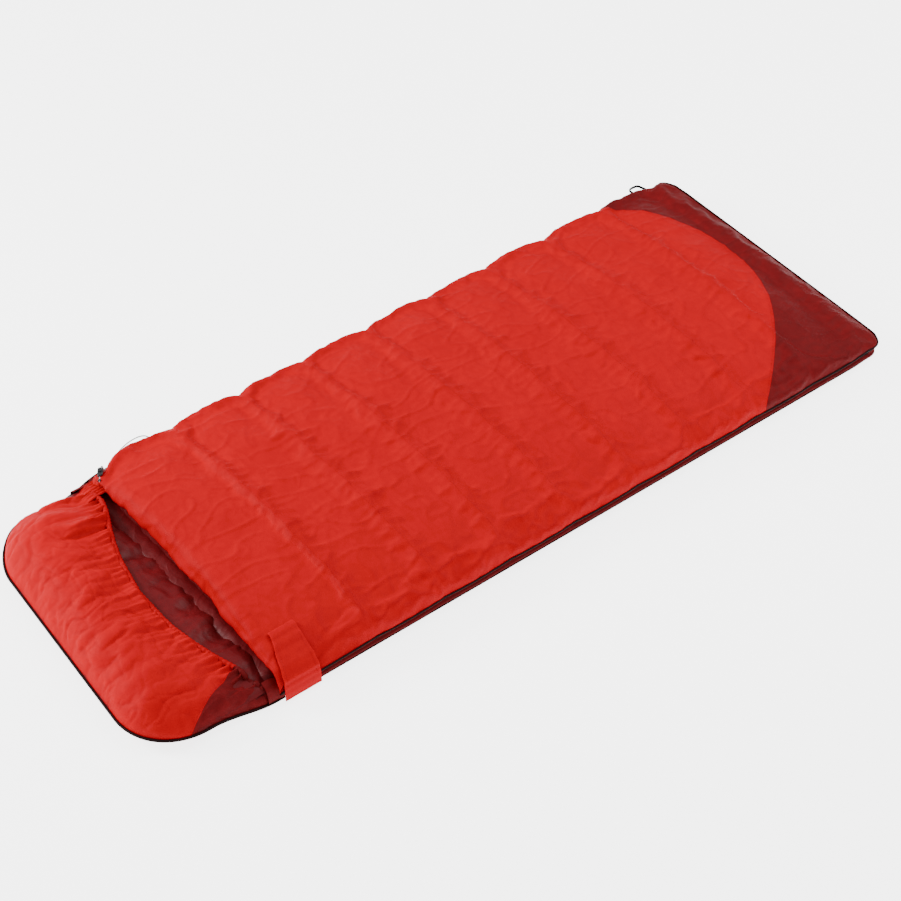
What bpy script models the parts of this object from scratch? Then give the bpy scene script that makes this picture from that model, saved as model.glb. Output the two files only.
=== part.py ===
"""Rectangular down sleeping bag with a drawcord hood, lying flat and zipped shut.

Metres, +Z up. The bag lies on the plane z = 0 with its head towards -Y and its side zip towards +X.
The origin is at the middle of its underside. Fabric is drawn about 1 mm thick, and every piece keeps
TOUCH, 0.3 mm, to the one that it is sewn to or rests on.
"""
import math

import bpy
import bmesh
from mathutils import Matrix, Vector

for old in list(bpy.data.objects):
    bpy.data.objects.remove(old)

# ---- Driving sizes -------------------------------------------------------------------------------
TOUCH = 0.0003            # the gap kept between two pieces that touch
SHELL = 0.0010            # outer fabric
LINING = 0.0010           # inner fabric

HALF_WIDTH = 0.405        # from the middle of the bag to the plane of the side zip
FOOT = 1.105              # y of the plane of the foot zip
CORNER_R = 0.040          # the zip's bend at the foot corner
HEAD_EDGE = -0.745        # y of the top quilt's open edge
HEAD_CORNER_R = 0.120     # its round corner beside the cord lock
NECK = HEAD_EDGE - 0.0155  # y where the bottom quilt ends and the hood begins

CHAMBERS = 10
FIRST_SEAM = HEAD_EDGE + 0.230
LAST_SEAM = FOOT - 0.060
SEAM_PITCH = (LAST_SEAM - FIRST_SEAM) / (CHAMBERS - 2)

ZIP_Z = 0.028             # height of the side zip's middle line
HINGE_Z = 0.055           # height of the sewn far edge, on which the top quilt turns
ZIP_ROOM = 0.0075         # from the zip's middle line to either quilt, room for the slider
PIPING_R = 0.0027

BOTTOM_LOFT = 0.043       # thickness of the bottom quilt
CAVITY = 0.030            # room between the quilts, where the sleeper lies
TOP_LOFT = 0.062          # thickness of the top quilt
SIDE_BULGE = 0.0065       # how far both quilts swell past the zip
SEAM_DIP = 0.017          # depth of the quilting grooves in the top quilt
UNDER_DIP = 0.006         # and under the bottom quilt
FOOT_TAPER = 0.230        # the quilts thin towards the foot over this length
ARC_TOP = FOOT - 0.095    # y of the top of the bowed seam to the maroon foot panel
ARC_DROP = 0.2214         # and how far it falls over half the bag's width
ARC_X = -0.070
FOOT_SIDE = 0.004         # least height of a quilt's wall at the foot

TAPE = 0.0008             # zip tape, thickness
TAPE_WIDTH = 0.0110
CHAIN_GAP = 0.0016        # between the two tapes, room for the slider's post
COIL_HIGH = 0.0030
COIL_THICK = 0.0026
ZIP_START = HEAD_EDGE + 0.105   # y where the side coils begin
ZIP_STOP = 0.075 - HALF_WIDTH   # x where the foot coils end
PARK = 0.034              # bare lower coil at each end, where a slider stands

HOOD_END = NECK - 0.3445
HOOD_HALF = HALF_WIDTH - 0.008
HOOD_CORNER_R = 0.150
HOOD_SEAM = 0.028         # height of the seam round the hood
HOOD_LOFT = 0.040         # thickness of the hood's upper quilt
HOOD_CAVITY = 0.022
FACE_LEAST = 0.025        # least distance from the neck to the face opening's edge
FACE_DEPTH = 0.102        # and how much deeper it is in the middle
FACE_X = 0.070            # x of the middle of the face opening
FACE_HALF = 0.360
GATHER = 0.0030           # height of the folds along the face opening

CORD_R = 0.0015
HEM_R = 0.0055
HEM_BORE_R = 0.0024

RED = (0.62, 0.030, 0.022, 1)
MAROON = (0.26, 0.026, 0.028, 1)
LINING_RED = (0.20, 0.022, 0.024, 1)
DOWN_WHITE = (0.80, 0.79, 0.76, 1)
BLACK = (0.012, 0.012, 0.013, 1)
GREY = (0.45, 0.46, 0.47, 1)


# ---- Materials and general shapes ----------------------------------------------------------------
def material(name, colour, roughness, metallic=0.0):
    made = bpy.data.materials.new(name)
    made.use_nodes = True
    shader = made.node_tree.nodes["Principled BSDF"]
    shader.inputs["Base Color"].default_value = colour
    shader.inputs["Roughness"].default_value = roughness
    shader.inputs["Metallic"].default_value = metallic
    return made


RED_NYLON = material("red_nylon", RED, 0.55)
MAROON_NYLON = material("maroon_nylon", MAROON, 0.55)
LINING_NYLON = material("lining_nylon", LINING_RED, 0.50)
DOWN = material("down_fill", DOWN_WHITE, 0.95)
BLACK_TAPE = material("black_tape", BLACK, 0.75)
BLACK_COIL = material("black_coil", BLACK, 0.40)
BLACK_PLASTIC = material("black_plastic", BLACK, 0.35)
BLACK_METAL = material("black_metal", BLACK, 0.35, 0.9)
GREY_CORD = material("grey_cord", GREY, 0.80)
SPRING_STEEL = material("spring_steel", GREY, 0.30, 1.0)


def finish(name, bm, mat):
    """A named object from a closed bmesh, with its faces turned outwards."""
    bmesh.ops.recalc_face_normals(bm, faces=bm.faces)
    mesh = bpy.data.meshes.new(name)
    bm.to_mesh(mesh)
    bm.free()
    mesh.materials.append(mat)
    made = bpy.data.objects.new(name, mesh)
    bpy.context.scene.collection.objects.link(made)
    return made


def skin(bm, a, b):
    """Faces between two rings of the same count."""
    for i in range(len(a)):
        k = (i + 1) % len(a)
        bm.faces.new((a[i], a[k], b[k], b[i]))


def slab(name, upper, lower, mat):
    """The solid between two grids of points with the same rows and columns."""
    bm = bmesh.new()
    top, low = [[[bm.verts.new(p) for p in row] for row in grid] for grid in (upper, lower)]
    rows, columns = len(top), len(top[0])
    for j in range(rows - 1):
        for i in range(columns - 1):
            for grid in (top, low):
                bm.faces.new((grid[j][i], grid[j][i + 1], grid[j + 1][i + 1]))
                bm.faces.new((grid[j][i], grid[j + 1][i + 1], grid[j + 1][i]))
    rim = [(0, i) for i in range(columns)]
    rim += [(j, columns - 1) for j in range(1, rows)]
    rim += [(rows - 1, i) for i in range(columns - 2, -1, -1)]
    rim += [(j, 0) for j in range(rows - 2, 0, -1)]
    skin(bm, [top[j][i] for j, i in rim], [low[j][i] for j, i in rim])
    return finish(name, bm, mat)


def sweep(name, rings, mat, bore=None):
    """A closed solid through rings of points. With bore rings it is a pipe, open at both ends."""
    bm = bmesh.new()
    outer = [[bm.verts.new(p) for p in ring] for ring in rings]
    for a, b in zip(outer, outer[1:]):
        skin(bm, a, b)
    if bore is None:
        bm.faces.new(outer[0])
        bm.faces.new(outer[-1])
    else:
        inner = [[bm.verts.new(p) for p in ring] for ring in bore]
        for a, b in zip(inner, inner[1:]):
            skin(bm, a, b)
        skin(bm, outer[0], inner[0])
        skin(bm, outer[-1], inner[-1])
    return finish(name, bm, mat)


def round_rings(path, radius, sides):
    """Rings of points square to a path that runs mostly level."""
    rings = []
    for i, point in enumerate(path):
        ahead = Vector(path[min(i + 1, len(path) - 1)]) - Vector(path[max(i - 1, 0)])
        across = ahead.normalized().cross(Vector((0, 0, 1))).normalized()
        up = across.cross(ahead.normalized())
        turns = [2 * math.pi * k / sides for k in range(sides)]
        rings.append([Vector(point) + radius * (math.cos(a) * across + math.sin(a) * up) for a in turns])
    return rings


def prism(name, outline, along, depth, mat):
    """An outline of points pushed by depth along a direction."""
    push = Vector(along) * depth
    start = [Vector(p) - push / 2 for p in outline]
    return sweep(name, [start, [p + push for p in start]], mat)


def box_outline(low, high):
    """The lower face of a box, for prism, with the box's height."""
    x0, y0, z0 = low
    x1, y1, z1 = high
    middle = (z0 + z1) / 2
    return [(x0, y0, middle), (x1, y0, middle), (x1, y1, middle), (x0, y1, middle)], z1 - z0


def block(name, low, high, mat):
    outline, depth = box_outline(low, high)
    return prism(name, outline, (0, 0, 1), depth, mat)


def disc(centre, radius, axis_x, axis_y, sides=16):
    """Points on a circle spanned by two directions."""
    turns = [2 * math.pi * k / sides for k in range(sides)]
    x, y = Vector(axis_x), Vector(axis_y)
    return [Vector(centre) + radius * (math.cos(a) * x + math.sin(a) * y) for a in turns]


def combine(made, tool, operation):
    """Joins a tool shape to an object, or cuts it away."""
    tool.hide_render = True
    tool.display_type = "WIRE"
    step = made.modifiers.new(tool.name, "BOOLEAN")
    step.operation = operation
    step.solver = "EXACT"
    step.object = tool


def power(value, exponent):
    """Signed power, for superellipses."""
    return math.copysign(abs(value) ** exponent, value)


def smooth(t):
    t = min(1.0, max(0.0, t))
    return t * t * (3 - 2 * t)


def between(x, near, far):
    """A height that changes evenly from the zipped side to the far side."""
    return near + (far - near) * (HALF_WIDTH - x) / (2 * HALF_WIDTH)


# ---- Plan of the quilts --------------------------------------------------------------------------
# A row runs across the bag from the zipped side to the far side. At a round end the rows are angles
# of the corner, so that every layer keeps its distance.
class Outline:
    """Straight sides that end in a straight edge with round corners."""

    def __init__(self, half, end, radius, way):
        self.half = half
        self.radius = radius
        self.way = way
        self.corner_y = end - way * radius


class Row:
    def __init__(self, outline, y=None, angle=None, seam=False, share=1.0):
        self.outline = outline
        self.angle = angle
        self.seam = seam
        self.share = share
        self.line = y

    def y(self, inside=0.0):
        if self.angle is None:
            return self.line
        reach = (self.outline.radius - inside) * math.sin(self.angle)
        return self.outline.corner_y + self.outline.way * reach

    def reach(self, inside=0.0):
        if self.angle is None:
            return self.outline.half - inside
        straight = self.outline.half - self.outline.radius
        return straight + (self.outline.radius - inside) * math.cos(self.angle)

    def room(self):
        """From the middle of the seam or zip to a quilt's edge at the far side."""
        return PIPING_R + TOUCH if self.angle is None else ZIP_ROOM

    def bulge(self):
        return SIDE_BULGE * (0.0 if self.angle else 1.0) * (0.25 if self.seam else 1.0)


BAG = Outline(HALF_WIDTH, FOOT, CORNER_R, 1)
HOOD = Outline(HOOD_HALF, HOOD_END, HOOD_CORNER_R, -1)
EDGE_IN = TAPE / 2 + TOUCH          # from the zip's plane to the edge of a quilt
LAYER = SHELL + TOUCH
SEAMS = [FIRST_SEAM + SEAM_PITCH * k for k in range(CHAMBERS - 1)]


def quilt_rows(head, flat, more=()):
    """Rows of a quilt from its head edge: each chamber is flat but for this share at its seams."""
    rows = [Row(BAG, y) for y in (head, *more)]
    rows.append(Row(BAG, head + (FIRST_SEAM - head) * (1 - flat)))
    for seam in SEAMS:
        rows.append(Row(BAG, seam, seam=True))
        if seam != SEAMS[-1]:
            rows.append(Row(BAG, seam + SEAM_PITCH * flat))
            rows.append(Row(BAG, seam + SEAM_PITCH * (1 - flat)))
    rows.append(Row(BAG, BAG.corner_y))
    return rows + [Row(BAG, angle=math.radians(a)) for a in (30, 60, 90)]


def foot_taper(y):
    s = min(1.0, max(0.0, (y - (FOOT - FOOT_TAPER)) / FOOT_TAPER))
    return max(0.0, 1 - s ** 2.4) ** 0.62


def far_corner(y):
    """How far the top quilt's far edge draws in at its round head corner."""
    into = min(HEAD_CORNER_R * 0.998, max(0.0, HEAD_CORNER_R - (y - HEAD_EDGE)))
    return HEAD_CORNER_R - math.sqrt(HEAD_CORNER_R ** 2 - into ** 2)


def shorten(points, cut):
    """Draws both ends of a line of points in along its own first and last stretch."""
    for end, beside in ((0, 1), (-1, -2)):
        stretch = Vector(points[beside]) - Vector(points[end])
        points[end] = Vector(points[end]) + stretch.normalized() * cut
    return points


# ---- Top quilt -----------------------------------------------------------------------------------
TOP_EDGE = ZIP_Z + ZIP_ROOM                     # its lowest part, above the slider
TOP_SEAM = ZIP_Z + CHAIN_GAP / 2 + TAPE_WIDTH   # height to which the zip tape covers it
INNER_TOP = BOTTOM_LOFT + CAVITY                # ceiling of the room for the sleeper
CROWN = INNER_TOP + TOP_LOFT
FAR_WRAP = 0.0035                               # height of its upright edge at the far side
TURN_IN = LAYER + 0.0015                        # the filling stops this far inside an edge
ACROSS = 11                                     # facets across the quilt
TURNS = [math.pi * i / (ACROSS - 1) for i in range(ACROSS)]


def top_edge(x, room=ZIP_ROOM):
    return between(x, TOP_EDGE, HINGE_Z + room)


def top_outer(row, inside, lift=0.0):
    """Outer side of the top quilt at a depth under its surface; lift shortens its turned-in edges."""
    y = row.y(EDGE_IN + inside)
    near = row.reach(EDGE_IN) - inside
    far = -row.reach(EDGE_IN) + inside + far_corner(row.y())
    taper = foot_taper(row.y())
    head = 0.80 + 0.20 * smooth((row.y() - HEAD_EDGE) / 0.10)
    bulge = row.bulge()
    middle, half = (near + far) / 2, (near - far) / 2 + bulge
    points = [(near, y, TOP_EDGE), (near, y, TOP_SEAM)]
    for t in TURNS:
        x = middle + half * power(math.cos(t), 0.72)
        base = between(x, TOP_SEAM, HINGE_Z + row.room() + FAR_WRAP) + 0.001 + 0.008 * taper
        height = (CROWN - base) * taper * head - SEAM_DIP * row.seam * taper
        height = max(height, FOOT_SIDE)
        points.append((x, y, base + (height - inside) * math.sin(t) ** 0.72 - inside * 0.3))
    low = top_edge(far, row.room())
    points += [(far, y, low + FAR_WRAP), (far, y, low)]
    return shorten(points, lift)


def top_inner(row, inside):
    """Inner side of the top quilt, at a depth above its surface."""
    y = row.y(EDGE_IN + LAYER)
    near = row.reach(EDGE_IN) - LAYER
    far = -row.reach(EDGE_IN) + LAYER + far_corner(row.y())
    taper = foot_taper(row.y())
    middle, half = (near + far) / 2, (near - far) / 2 - 0.003
    points = [(near, y, TOP_EDGE + inside), (near - 0.0015, y, TOP_EDGE + inside)]
    for t in TURNS:
        x = middle + half * power(math.cos(t), 0.80)
        base = top_edge(x, row.room())
        points.append((x, y, base + inside + (INNER_TOP - base) * taper * math.sin(t) ** 0.30))
    low = top_edge(far, row.room()) + inside
    points += [(far + 0.0015, y, low), (far, y, low)]
    return points


def closed_at_foot(grid, edge):
    """Adds the wall that runs down or up to the zip at the foot."""
    last = grid[-1]
    way = 1 if last[5][2] > edge(last[5][0]) else -1
    limit, wall = [], []
    for i, (x, y, z) in enumerate(last):
        steps = min(i, len(last) - 1 - i)
        least = edge(x) + way * FOOT_SIDE * min(1.0, 0.5 + 0.5 * steps)
        limit.append((x, y, max(z, least) if way > 0 else min(z, least)))
        wall.append((x * (1 - 0.002 * (steps + 1)), y, edge(x)))
    return grid[:-1] + [limit, wall]


HEAD_STEPS = [HEAD_EDGE + HEAD_CORNER_R * share for share in (0.10, 0.30, 0.60, 1.0)]
TOP_ROWS = quilt_rows(HEAD_EDGE, 0.20, HEAD_STEPS)


ARC_HALF = HALF_WIDTH * 1.11    # the seam is drawn past both sides


def foot_arc(shift):
    """The bowed seam between the red shell and the maroon panel at its foot."""
    xs = [ARC_HALF * (k / 7.5 - 1) for k in range(16)]
    ys = [ARC_TOP - ARC_DROP * ((x - ARC_X) / HALF_WIDTH) ** 2 + shift for x in xs]
    return [(x, y, CROWN / 2) for x, y in zip(xs, ys)]


def shell_part(name, limits, mat):
    """The part of the top quilt's outer fabric within an outline in plan."""
    made = slab(
        name,
        closed_at_foot([top_outer(row, 0) for row in TOP_ROWS], top_edge),
        closed_at_foot([top_outer(row, SHELL) for row in TOP_ROWS], top_edge),
        mat,
    )
    combine(made, prism(name + "_outline", limits, (0, 0, 1), 2 * CROWN, mat), "INTERSECT")


def past(y):
    """The two corners that close an outline beyond an end of the quilt."""
    return [(ARC_HALF, y, CROWN / 2), (-ARC_HALF, y, CROWN / 2)]


shell_part("top_shell", foot_arc(0) + past(HEAD_EDGE - CORNER_R), RED_NYLON)
shell_part("foot_panel", foot_arc(TOUCH) + past(FOOT + CORNER_R), MAROON_NYLON)
slab(
    "top_fill",
    [top_outer(row, LAYER, TURN_IN) for row in TOP_ROWS],
    [top_inner(row, LINING + TOUCH) for row in TOP_ROWS],
    DOWN,
)
slab(
    "top_lining",
    [top_inner(row, LINING) for row in TOP_ROWS],
    [top_inner(row, 0) for row in TOP_ROWS],
    LINING_NYLON,
)


def end_wall(name, above, below, y, mat):
    """Closes the open end of a quilt between its outer and inner side."""
    faces = []
    for at in (y, y + SHELL):
        faces.append([[(p[0], at, p[2]) for p in line] for line in (above, below)])
    return slab(name, faces[0], faces[1], mat)


end_wall(
    "head_band",
    top_outer(TOP_ROWS[0], 0, 0.002),
    top_inner(TOP_ROWS[0], 0),
    HEAD_EDGE - TOUCH - SHELL,
    RED_NYLON,
)


# ---- Bottom quilt --------------------------------------------------------------------------------
BOTTOM_EDGE = ZIP_Z - ZIP_ROOM
BOTTOM_START = NECK + TOUCH + SHELL + TOUCH
FAR_FOOT = 0.030          # from the far edge in to where the underside meets the floor
INNER_SHARES = (0, 0.03, 0.10, 0.35, 0.85, 1, 1, 1, 1, 1, 0.6, 0)


def bottom_edge(x, room=ZIP_ROOM):
    return between(x, BOTTOM_EDGE, HINGE_Z - room)


def spread(near, far):
    """Four places across the flat middle of the bottom quilt."""
    return [near + (far - near) * s for s in (0.08, 0.36, 0.64, 0.92)]


def bottom_outer(row, inside, lift=0.0):
    y = row.y(EDGE_IN + inside)
    near, far = row.reach(EDGE_IN) - inside, -row.reach(EDGE_IN) + inside
    side = near + row.bulge() * 0.95
    tape_end = BOTTOM_EDGE - TAPE_WIDTH + ZIP_ROOM - 0.001
    dip = inside + UNDER_DIP * row.seam
    points = [(near, y, BOTTOM_EDGE), (near, y, tape_end)]
    points += [(side, y, tape_end - 0.003), (side, y, 0.004 + inside), (near - 0.006, y, inside)]
    points += [(x, y, dip) for x in spread(near, far)]
    points += [(far + FAR_FOOT, y, inside), (far + 0.006, y, 0.022), (far, y, bottom_edge(far, row.room()))]
    return shorten(points, lift)


def bottom_inner(row, inside):
    y = row.y(EDGE_IN + LAYER)
    near, far = row.reach(EDGE_IN) - LAYER, -row.reach(EDGE_IN) + LAYER
    taper = foot_taper(row.y())
    xs = [near, near - 0.0022, near - 0.0047, near - 0.0107, near - 0.0287]
    xs += spread(near, far) + [far + 0.045, far + 0.012, far]
    points = []
    for x, share in zip(xs, INNER_SHARES):
        base = bottom_edge(x, row.room())
        points.append((x, y, base + (BOTTOM_LOFT - base) * taper * share - inside))
    return points


BOTTOM_ROWS = quilt_rows(BOTTOM_START, 0.12)
slab(
    "bottom_shell",
    closed_at_foot([bottom_outer(row, SHELL) for row in BOTTOM_ROWS], bottom_edge),
    closed_at_foot([bottom_outer(row, 0) for row in BOTTOM_ROWS], bottom_edge),
    MAROON_NYLON,
)
slab(
    "bottom_fill",
    [bottom_inner(row, LINING + TOUCH) for row in BOTTOM_ROWS],
    [bottom_outer(row, LAYER, TURN_IN) for row in BOTTOM_ROWS],
    DOWN,
)
slab(
    "bottom_lining",
    [bottom_inner(row, 0) for row in BOTTOM_ROWS],
    [bottom_inner(row, LINING) for row in BOTTOM_ROWS],
    LINING_NYLON,
)
end_wall(
    "neck_band",
    bottom_inner(BOTTOM_ROWS[0], 0),
    bottom_outer(BOTTOM_ROWS[0], 0, 0.002),
    NECK + TOUCH,
    MAROON_NYLON,
)


# ---- Zip -----------------------------------------------------------------------------------------
def zip_line(start, stop, offset):
    """Points along the side, round the foot corner and along the foot, outside the zip's plane."""
    reach = HALF_WIDTH + offset
    points = [(reach, start), (reach, BAG.corner_y)]
    for step in range(1, 7):
        angle = math.radians(15 * step)
        x = HALF_WIDTH - CORNER_R + (CORNER_R + offset) * math.cos(angle)
        points.append((x, BAG.corner_y + (CORNER_R + offset) * math.sin(angle)))
    return points + [(stop, FOOT + offset)]


def zip_height(x):
    return between(x, ZIP_Z, HINGE_Z)


def zip_strip(name, start, stop, inner, outer, low, high, mat):
    """A strip that stands on edge along the zip, between two offsets and two heights."""
    rings = []
    for a, b in zip(zip_line(start, stop, inner), zip_line(start, stop, outer)):
        base = zip_height((a[0] + b[0]) / 2)
        rings.append([(*a, base + low), (*b, base + low), (*b, base + high), (*a, base + high)])
    return sweep(name, rings, mat)


HALF_GAP = CHAIN_GAP / 2
COIL_IN = TAPE / 2 + TOUCH
COIL_OUT = COIL_IN + COIL_THICK
for side, way in (("upper", 1), ("lower", -1)):
    parked = 0.0 if way > 0 else PARK
    ends = (ZIP_START - parked, ZIP_STOP - parked)
    low, high = sorted((way * HALF_GAP, way * (HALF_GAP + TAPE_WIDTH)))
    zip_strip(side + "_tape", ends[0], ends[1], -TAPE / 2, TAPE / 2, low, high, BLACK_TAPE)
    low, high = sorted((way * HALF_GAP, way * (HALF_GAP + COIL_HIGH)))
    zip_strip(side + "_coil", ends[0], ends[1], COIL_IN, COIL_OUT, low, high, BLACK_COIL)

PLATE = 0.0013            # thickness of a slider's plates
SLIDER_HIGH = 0.0125
SLIDER_LONG = 0.0150
POST = CHAIN_GAP - 2 * TOUCH
BACK_IN = -TAPE / 2 - TOUCH
FRONT_OUT = COIL_OUT + TOUCH
BAIL_LEG = 0.0012
BAIL_REACH = 0.0031       # from the front plate to the outer side of its bail
BAIL_HALF = 0.0036
BAIL_WIDE = 0.0024
PULL_THICK = 0.0013
PULL_LONG = 0.030
PULL_HOLE = 0.0065
PIN = 0.0007              # half of the pull's crossbar


def place(made, turn, at):
    """Turns an object about Z and Y and sets it down."""
    made.matrix_world = Matrix.Translation(at) @ turn


def slider(name, turn, at):
    """Two plates joined by a post between the coils, with a bail on the outer plate.

    Drawn with its travel along Y and its outer side towards +X.
    """
    half_high, half_long, post = SLIDER_HIGH / 2, SLIDER_LONG / 2, POST / 2
    back, front = BACK_IN - PLATE, FRONT_OUT + PLATE
    outline = [(back, half_high), (back, -half_high), (BACK_IN, -half_high), (BACK_IN, -post)]
    outline += [(FRONT_OUT, -post), (FRONT_OUT, -half_high), (front, -half_high), (front, half_high)]
    outline += [(FRONT_OUT, half_high), (FRONT_OUT, post), (BACK_IN, post), (BACK_IN, half_high)]
    made = prism(name, [(x, 0, z) for x, z in outline], (0, 1, 0), 2 * half_long, BLACK_METAL)
    root, bar = front - 0.0004, front + BAIL_REACH
    inside = bar - BAIL_LEG
    arch = [(root, -BAIL_HALF), (bar, -BAIL_HALF), (bar, BAIL_HALF), (root, BAIL_HALF)]
    arch += [(root, BAIL_HALF - BAIL_LEG), (inside, BAIL_HALF - BAIL_LEG)]
    arch += [(inside, -BAIL_HALF + BAIL_LEG), (root, -BAIL_HALF + BAIL_LEG)]
    bail = prism(name + "_bail", [(x, y, 0) for x, y in arch], (0, 0, 1), BAIL_WIDE, BLACK_METAL)
    combine(made, bail, "UNION")
    for piece in (made, bail):
        place(piece, turn, at)
    return made


def pull(name, turn, at):
    """A tab that lies along the zip, with a window round the bail."""
    centre = pull_pin()
    wide = BAIL_WIDE / 2 + 0.0005 + 0.0016
    x0, x1 = centre - PULL_THICK / 2, centre + PULL_THICK / 2
    made = block(name, (x0, -PULL_LONG + PIN, -wide), (x1, PIN, wide), BLACK_METAL)
    hole = BAIL_WIDE / 2 + 0.0005
    past_it = 0.001
    low, high = (x0 - past_it, -PIN - PULL_HOLE, -hole), (x1 + past_it, -PIN, hole)
    window = block(name + "_window", low, high, BLACK_METAL)
    combine(made, window, "DIFFERENCE")
    for piece in (made, window):
        place(piece, turn, at)
    return made


def pull_pin():
    """Distance from the zip's plane to the middle of the pull's crossbar."""
    return FRONT_OUT + PLATE + (BAIL_REACH - BAIL_LEG) / 2


SLOPE = math.atan2(HINGE_Z - ZIP_Z, 2 * HALF_WIDTH)
SIDE_AT = Vector((HALF_WIDTH, ZIP_START - TOUCH - SLIDER_LONG / 2, ZIP_Z))
FOOT_X = ZIP_STOP - TOUCH - SLIDER_LONG / 2
FOOT_AT = Vector((FOOT_X, FOOT, zip_height(FOOT_X)))
SIDE_TURN = Matrix.Identity(4)
FOOT_TURN = Matrix.Rotation(SLOPE, 4, "Y") @ Matrix.Rotation(math.radians(90), 4, "Z")
slider("side_slider", SIDE_TURN, SIDE_AT)
pull("side_pull", Matrix.Rotation(math.pi, 4, "X"), SIDE_AT)
slider("foot_slider", FOOT_TURN, FOOT_AT)
pull("foot_pull", FOOT_TURN, FOOT_AT)

DRAFT_IN = 0.0136         # from the quilt's edge to the middle of the draft tube
DRAFT_R = 0.0046
draft_path = [(HALF_WIDTH - DRAFT_IN, y, TOP_EDGE + 0.0042) for y in (ZIP_START - PARK, FOOT - FOOT_TAPER)]
sweep("draft_tube", round_rings(draft_path, DRAFT_R, 10), LINING_NYLON)
piping_path = [(-HALF_WIDTH + EDGE_IN, y, HINGE_Z) for y in (HEAD_EDGE + HEAD_CORNER_R, BAG.corner_y)]
sweep("far_piping", round_rings(piping_path, PIPING_R, 12), MAROON_NYLON)

# ---- Hood ----------------------------------------------------------------------------------------
HOOD_BACK = BOTTOM_LOFT - 0.001
HOOD_INNER = HOOD_BACK + HOOD_CAVITY
HOOD_CROWN = HOOD_INNER + HOOD_LOFT
HOOD_START = NECK - TOUCH - SHELL - TOUCH
HOOD_TAPER = 0.125
HOOD_TURNS = [math.pi * i / 16 for i in range(17)]
HOOD_ROWS = [Row(HOOD, y=HOOD_START + (HOOD.corner_y - HOOD_START) * v, share=v) for v in (0, 0.15, 0.5, 1)]
HOOD_ROWS += [Row(HOOD, angle=math.radians(a)) for a in (22.5, 45, 67.5, 90)]
BACK_SHARES = (0, 0, 0.8, 1, 1, 1, 1, 0.8, 0, 0)


def hood_taper(y):
    s = min(1.0, max(0.0, (HOOD_END + HOOD_TAPER - y) / HOOD_TAPER))
    return max(0.0, 1 - s ** 2.4) ** 0.62


def hood_seam(x):
    return HOOD_SEAM


def hood_back_outer(row, inside, cut=0.0):
    y = row.y(inside)
    reach = row.reach() - inside
    side = [(reach, HOOD_SEAM), (reach - 0.002, 0.012), (reach - 0.012, inside)]
    points = [(x, y, z) for x, z in side]
    points += [(x, y, inside) for x in spread(reach, -reach)]
    points += [(-x, y, z) for x, z in reversed(side)]
    return shorten(points, cut)


def hood_back_inner(row, inside):
    y = row.y(LAYER)
    reach = row.reach() - LAYER
    side = [reach, reach - 0.005, reach - 0.028]
    xs = side + spread(reach, -reach) + [-x for x in reversed(side)]
    rise = (HOOD_BACK - HOOD_SEAM) * hood_taper(row.y())
    return [(x, y, HOOD_SEAM - inside + rise * share) for x, share in zip(xs, BACK_SHARES)]


slab(
    "hood_back_shell",
    closed_at_foot([hood_back_outer(row, SHELL) for row in HOOD_ROWS], hood_seam),
    closed_at_foot([hood_back_outer(row, 0) for row in HOOD_ROWS], hood_seam),
    MAROON_NYLON,
)
slab(
    "hood_back_fill",
    [hood_back_inner(row, LINING + TOUCH) for row in HOOD_ROWS],
    [hood_back_outer(row, LAYER, TURN_IN) for row in HOOD_ROWS],
    DOWN,
)
slab(
    "hood_back_lining",
    [hood_back_inner(row, 0) for row in HOOD_ROWS],
    [hood_back_inner(row, LINING) for row in HOOD_ROWS],
    LINING_NYLON,
)
end_wall(
    "hood_neck_band",
    hood_back_inner(HOOD_ROWS[0], 0),
    hood_back_outer(HOOD_ROWS[0], 0, 0.002),
    NECK - TOUCH - SHELL,
    MAROON_NYLON,
)

HOOD_LOW = HOOD_SEAM + TOUCH
HOOD_WRAP = 0.0035


def face_line(x):
    """y of the edge of the face opening."""
    u = (x - FACE_X) / FACE_HALF
    return NECK - FACE_LEAST - FACE_DEPTH * max(0.0, 1 - u * u)


def hood_y(row, x, inside):
    if row.angle is None:
        return face_line(x) + (HOOD.corner_y - face_line(x)) * row.share
    return row.y(inside)


def hood_low(x):
    return HOOD_LOW


def hood_top_outer(row, inside, cut=0.0):
    reach = row.reach() - inside
    taper = hood_taper(row.y())
    fullness = 0.72 + 0.28 * smooth(row.share / 0.5)
    base = HOOD_LOW + HOOD_WRAP + 0.002 + 0.006 * taper
    height = max((HOOD_CROWN - base) * taper * fullness, FOOT_SIDE)
    points = [(reach, HOOD_LOW), (reach, HOOD_LOW + HOOD_WRAP)]
    for number, t in enumerate(HOOD_TURNS):
        x = (reach + row.bulge() * 0.6) * power(math.cos(t), 0.72)
        fold = GATHER * (number % 2) * (row.share == 0) * math.sin(t)
        points.append((x, base + (height - inside) * math.sin(t) ** 0.72 - fold - inside * 0.3))
    points += [(-reach, HOOD_LOW + HOOD_WRAP), (-reach, HOOD_LOW)]
    return shorten([(x, hood_y(row, x, inside), z) for x, z in points], cut)


def hood_top_inner(row, inside):
    reach = row.reach() - LAYER
    taper = hood_taper(row.y())
    points = [(reach, HOOD_LOW), (reach - 0.0015, HOOD_LOW)]
    for t in HOOD_TURNS:
        x = (reach - 0.003) * power(math.cos(t), 0.80)
        points.append((x, HOOD_LOW + (HOOD_INNER - HOOD_LOW) * taper * math.sin(t) ** 0.30))
    points += [(-reach + 0.0015, HOOD_LOW), (-reach, HOOD_LOW)]
    return [(x, hood_y(row, x, LAYER), z + inside) for x, z in points]


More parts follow.
